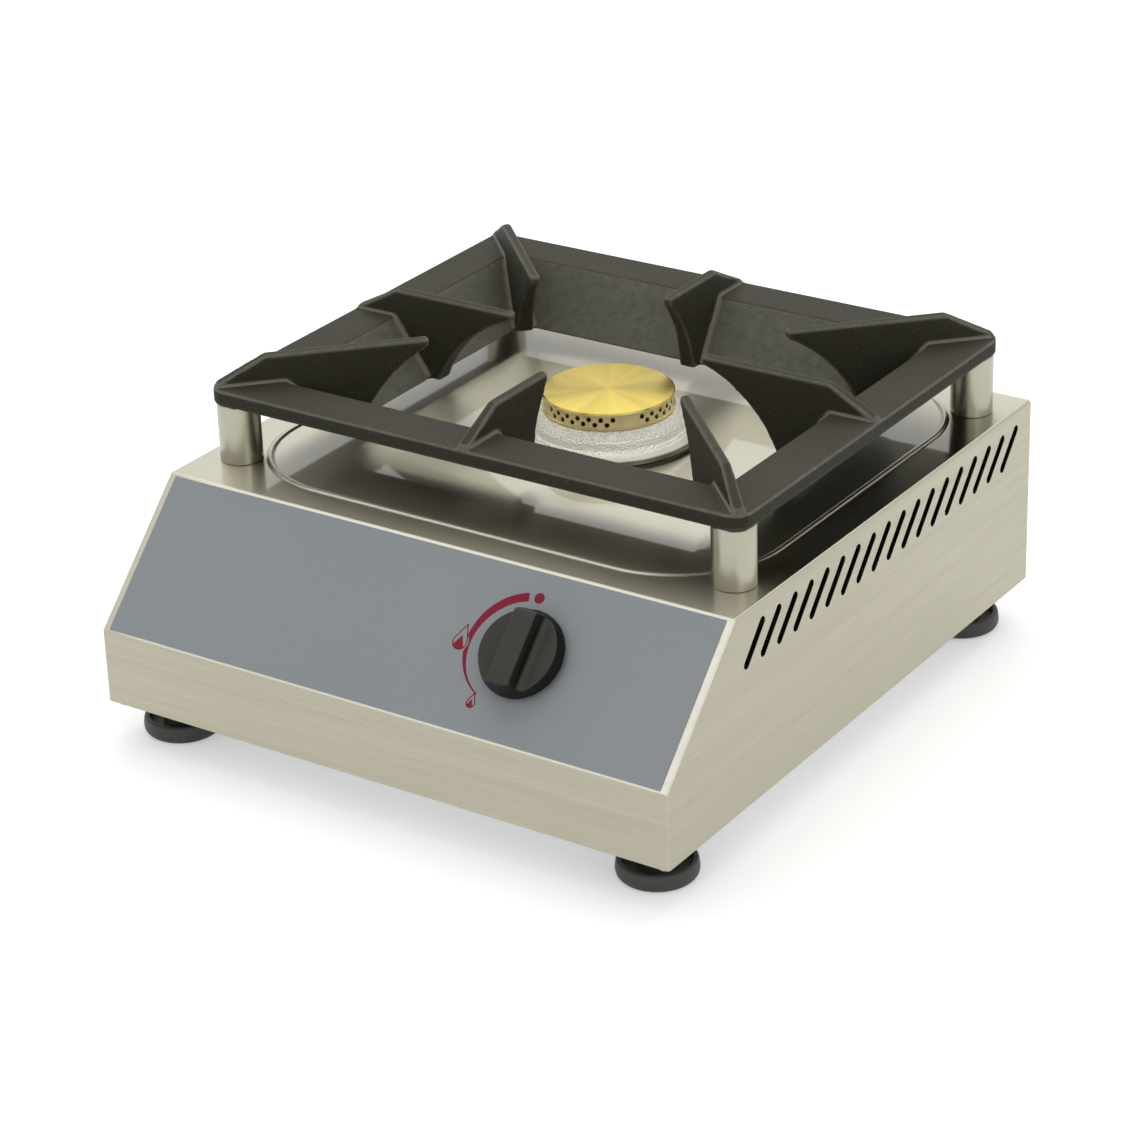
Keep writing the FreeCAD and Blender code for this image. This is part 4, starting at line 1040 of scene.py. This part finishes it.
turned_rings = turned_effect()
sheen_spoke_dark, sheen_spoke_light = (0.48, 0.37, 0.064, 1), (0.565, 0.44, 0.085, 1)
wall_reflection_tone = (0.84, 0.72, 0.38, 1)
cap_brass, tree, sockets = new_finish(
    "turned_cap_brass", Metallic=1.0, Anisotropic=0.8, Anisotropic_Rotation=0.25)
rings = use(tree, turned_rings, Pitch=0.0003)
lying = math_node(tree, "ABSOLUTE", axes_of(tree, facing_of(tree))["Z"])
# Painted reflection: the upright side wall is painted paler and made less metallic than the top.
cap_wall = ranged(tree, lying, 0.2, 0.5, 1, 0)
# Painted sheen: the colour of the top turns lighter and darker in spokes round the axis.
cap_sheen_tone = mixed(tree, rings["Spokes"], sheen_spoke_dark, sheen_spoke_light)
ring_rough = ranged(tree, rings["Rings"], 0, 1, 0.24, 0.30)
feed(
    tree, sockets,
    Base_Color=mixed(tree, cap_wall, cap_sheen_tone, wall_reflection_tone),
    Metallic=ranged(tree, cap_wall, 0, 1, 1.0, 0.35),
    Roughness=math_node(tree, "ADD", ring_rough, times(tree, cap_wall, 0.08)),
    Tangent=put(tree, "Tangent", direction_type="RADIAL", axis="Z").outputs[0],
    Normal=bumped(tree, rings["Rings"], 0.06, 0.00003))

cap_profile = [
    (0.0, 8.0), (33.0, 8.0), (33.0, 0.0), (38.5, 0.0), (38.9, 0.3), (38.9, 0.9), (38.3, 1.2), (38.15, 8.2),
    (38.3, 8.5), (38.8, 8.7), (38.9, 9.2), (38.7, 9.9), (38.1, 10.45), (37.2, 10.6), (0.0, 10.6),
]
cap_mesh = mesh_of(turned(cap_profile, 180), "brass_cap")
port_groups = 4
group_ports = 7
first_group = -40
upper_row, lower_row = 6.4 * mm, 3.4 * mm
port_radius = 1.5 * mm
port_step = 720 / (port_groups * (2 * group_ports + 3))
drill_from, drill_length = 32, 9
drills = []
for group in range(port_groups):
    middle = first_group + 360 / port_groups * (group + 0.5)
    for height, count in ((upper_row, group_ports), (lower_row, group_ports - 1)):
        for step in range(count):
            turn = math.radians(middle + (step - (count - 1) / 2) * port_step)
            outward = Vector((math.cos(turn), math.sin(turn), 0))
            sideways = Vector((-outward.y, outward.x, 0))
            start = outward * drill_from * mm + up * height
            drills.append(drawn_out(disc(start, port_radius, sideways, up, 16), outward * drill_length * mm))
cap_mesh = smoothed(cut_out(cap_mesh, gathered(drills, "drills")), 32)
cap_place = (burner_axis.x, burner_axis.y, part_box("burner_cap")[0].z)
fitted("brass_cap", cap_mesh, cap_brass, "burner_cap", "brass", "burner_cap", place=cap_place)


# Knob
# Moulded black plastic with a grip bar across it. It is pushed on the flat of the tap's spindle, and turns
# and presses in with it.

plastic, tree, sockets = new_finish("black_plastic", Specular_IOR_Level=0.2)
orange_peel = use(tree, soft_patches, Size=0.0008, Contrast=0.8)
handled = use(tree, soft_patches, Size=0.02, Contrast=0.6)
facing = axes_of(tree, facing_of(tree))
# Painted shade: faces that do not look along the knob's axis, its walls, are painted near black.
along_axis = math_node(
    tree, "ADD", times(tree, facing["Y"], slope_out.y), times(tree, facing["Z"], slope_out.z))
plastic_tone = mixed(tree, handled["Patches"], linear(56, 54, 47), linear(64, 62, 55))
feed(
    tree, sockets,
    Base_Color=mixed(tree, ranged(tree, along_axis, 0.8, 0.45, 0, 0.95), plastic_tone, linear(8, 7, 4)),
    Roughness=ranged(tree, handled["Patches"], 0, 1, 0.34, 0.44),
    Normal=bumped(tree, orange_peel["Patches"], 0.08, 0.00006))


def softened(node, name, voxel, kept_share):
    """A solid's mesh with its edges rounded, as a mould leaves them."""
    mesh = worked(mesh_of(sewn(node), name), "REMESH", mode="VOXEL", voxel_size=voxel)
    mesh = worked(mesh, "SMOOTH", factor=0.5, iterations=6)
    mesh = worked(mesh, "DECIMATE", ratio=kept_share)
    mesh.shade_smooth()
    mesh.name = name
    return mesh


knob_mesh = softened("knob", "knob_moulding", 0.4 * mm, 0.4)
fitted("knob_moulding", knob_mesh, plastic, "knob", "black_plastic", "knob")


# Pan support
# One iron casting: a flat frame with a sloping skirt and eight fingers, with rounded edges and a rough
# skin, blackened. Four spigots drop into the posts, and it lifts off.

iron, tree, sockets = new_finish("cast_iron", Specular_IOR_Level=0.14)
skin = use(tree, casting_skin, Grain=0.0013)
rust_shade = use(tree, soft_patches, Size=0.05, Contrast=0.6)
mottle = use(tree, soft_patches, Size=0.006, Contrast=1.0)
leaning = axes_of(tree, facing_of(tree))["Z"]
on_skirt = band(tree, leaning, (0.12, 0.22), (0.7, 0.85))
iron_tone = mixed(tree, rust_shade["Patches"], linear(53, 51, 40), linear(61, 59, 47))
# Painted shade: upright faces are painted darker.
iron_tone = mixed(tree, ranged(tree, leaning, 0.12, 0.03, 0, 0.5), iron_tone, linear(30, 29, 22))
# Faces that lean, mostly the skirt's, are painted lighter and mottled: partly their rougher as-cast skin,
# partly painted light where they tilt up toward the lamps.
skirt_skin_and_sheen_tone = mixed(tree, mottle["Patches"], linear(82, 81, 71), linear(118, 117, 106))
iron_tone = mixed(tree, times(tree, on_skirt, 0.85), iron_tone, skirt_skin_and_sheen_tone)
# Painted glints: the tips of the grain are painted pale, more on the skirt.
glint_share = times(tree, skin["Tips"], ranged(tree, on_skirt, 0, 1, 0.15, 0.6))
iron_tone = mixed(tree, glint_share, iron_tone, linear(112, 110, 97))
pointed = put(tree, "NewGeometry").outputs["Pointiness"]
# Painted highlights: a pale line along convex edges, and in the hollow corners of the skirt.
edge_highlight = times(
    tree, ranged(tree, pointed, 0.512, 0.55, 0, 1), ranged(tree, mottle["Patches"], 0, 1, 0.15, 0.6))
corner_highlight = times(tree, ranged(tree, pointed, 0.495, 0.475, 0, 0.85), on_skirt)
iron_highlights = math_node(tree, "MAXIMUM", edge_highlight, corner_highlight)
rough_skin = times(tree, skin["Height"], ranged(tree, on_skirt, 0, 1, 0.5, 1.0))
feed(
    tree, sockets,
    Base_Color=mixed(tree, iron_highlights, iron_tone, linear(122, 119, 104)),
    Roughness=ranged(tree, skin["Tips"], 0, 1, 0.62, 0.5),
    Normal=bumped(tree, rough_skin, 0.45, 0.0006))
support_mesh = softened("pan_support", "pan_support_casting", 1.1 * mm, 0.35)
fitted("pan_support_casting", support_mesh, iron, "pan_support", "cast_iron", "pan_support")


# Floor, light and camera
# A plain white studio sweep under an even white sky. A large soft lamp hangs overhead, behind and to the
# left, and a small weak one stands on the right.

def seen_directly(tree):
    """1 for what the camera, gloss or glass shows, 0 for the light that falls on the piece."""
    ray = put(tree, "LightPath").outputs
    seen = math_node(tree, "MAXIMUM", ray["Is Camera Ray"], ray["Is Glossy Ray"])
    return math_node(tree, "MAXIMUM", seen, ray["Is Transmission Ray"])


floor_half = 6.0
floor_glow = 0.36
floor_grey = (0.8, 0.8, 0.8, 1)
white = (1, 1, 1, 1)
sides = ((-1, -1), (1, -1), (1, 1), (-1, 1))
corners = [(side_x * floor_half, side_y * floor_half, 0) for side_x, side_y in sides]
floor_mesh = bpy.data.meshes.new("floor")
floor_mesh.from_pydata(corners, [], [(0, 1, 2, 3)])
floor = bpy.data.objects.new("floor", floor_mesh)
bpy.context.scene.collection.objects.link(floor)
floor_finish = bpy.data.materials.new("white_sweep")
floor_finish.use_nodes = True
tree = floor_finish.node_tree
tree.nodes.clear()
paint = put(tree, "BsdfDiffuse", {"Color": floor_grey})
glow = put(tree, "Emission", {"Color": white, "Strength": floor_glow})
both = put(tree, "AddShader", {0: paint.outputs[0], 1: glow.outputs[0]})
shown = put(tree, "MixShader", {0: seen_directly(tree), 1: paint.outputs[0], 2: both.outputs[0]})
put(tree, "OutputMaterial", {"Surface": shown.outputs[0]})
floor_mesh.materials.append(floor_finish)

sky_light = 0.75
world = bpy.data.worlds.new("studio")
bpy.context.scene.world = world
world.use_nodes = True
tree = world.node_tree
tree.nodes.clear()
falling = put(tree, "Background", {"Color": white, "Strength": sky_light})
backdrop = put(tree, "Background", {"Color": white, "Strength": 1.0})
shown = put(tree, "MixShader", {0: seen_directly(tree), 1: falling.outputs[0], 2: backdrop.outputs[0]})
put(tree, "OutputWorld", {"Surface": shown.outputs[0]})


def soft_lamp(name, place, aim, size, power):
    """Round lamp at a place, turned to its aim."""
    lamp = bpy.data.lights.new(name, "AREA")
    lamp.shape = "DISK"
    lamp.size = size
    lamp.energy = power
    holder = bpy.data.objects.new(name, lamp)
    holder.location = place
    holder.rotation_mode = "QUATERNION"
    holder.rotation_quaternion = (Vector(aim) - Vector(place)).to_track_quat("-Z", "Y")
    bpy.context.scene.collection.objects.link(holder)


lamp_aim = (0, 0, 0.1)
soft_lamp("key_lamp", (-0.5, 0.8, 2.1), lamp_aim, 3.0, 24)
soft_lamp("fill_lamp", (1.9, -0.8, 1.4), lamp_aim, 0.9, 2.5)

camera = bpy.data.cameras.new("camera")
camera.sensor_width = 36
camera.lens = 111.87
camera.clip_start = 0.05
turn_round, look_down, tilt = (math.radians(angle) for angle in (34.3533, 25.5942, -1.8597))
towards_camera = Vector((
    math.sin(turn_round) * math.cos(look_down),
    -math.cos(turn_round) * math.cos(look_down),
    math.sin(look_down)))
level_right = Vector((math.cos(turn_round), math.sin(turn_round), 0))
level_up = towards_camera.cross(level_right)
camera_right = level_right * math.cos(tilt) + level_up * math.sin(tilt)
camera_up = level_up * math.cos(tilt) - level_right * math.sin(tilt)
stand = Matrix((camera_right, camera_up, towards_camera)).transposed().to_4x4()
stand.translation = Vector((1.0460, -1.5522, 0.9620))
holder = bpy.data.objects.new("camera", camera)
holder.matrix_world = stand
bpy.context.scene.collection.objects.link(holder)
bpy.context.scene.camera = holder
bpy.context.scene.view_settings.view_transform = "Standard"
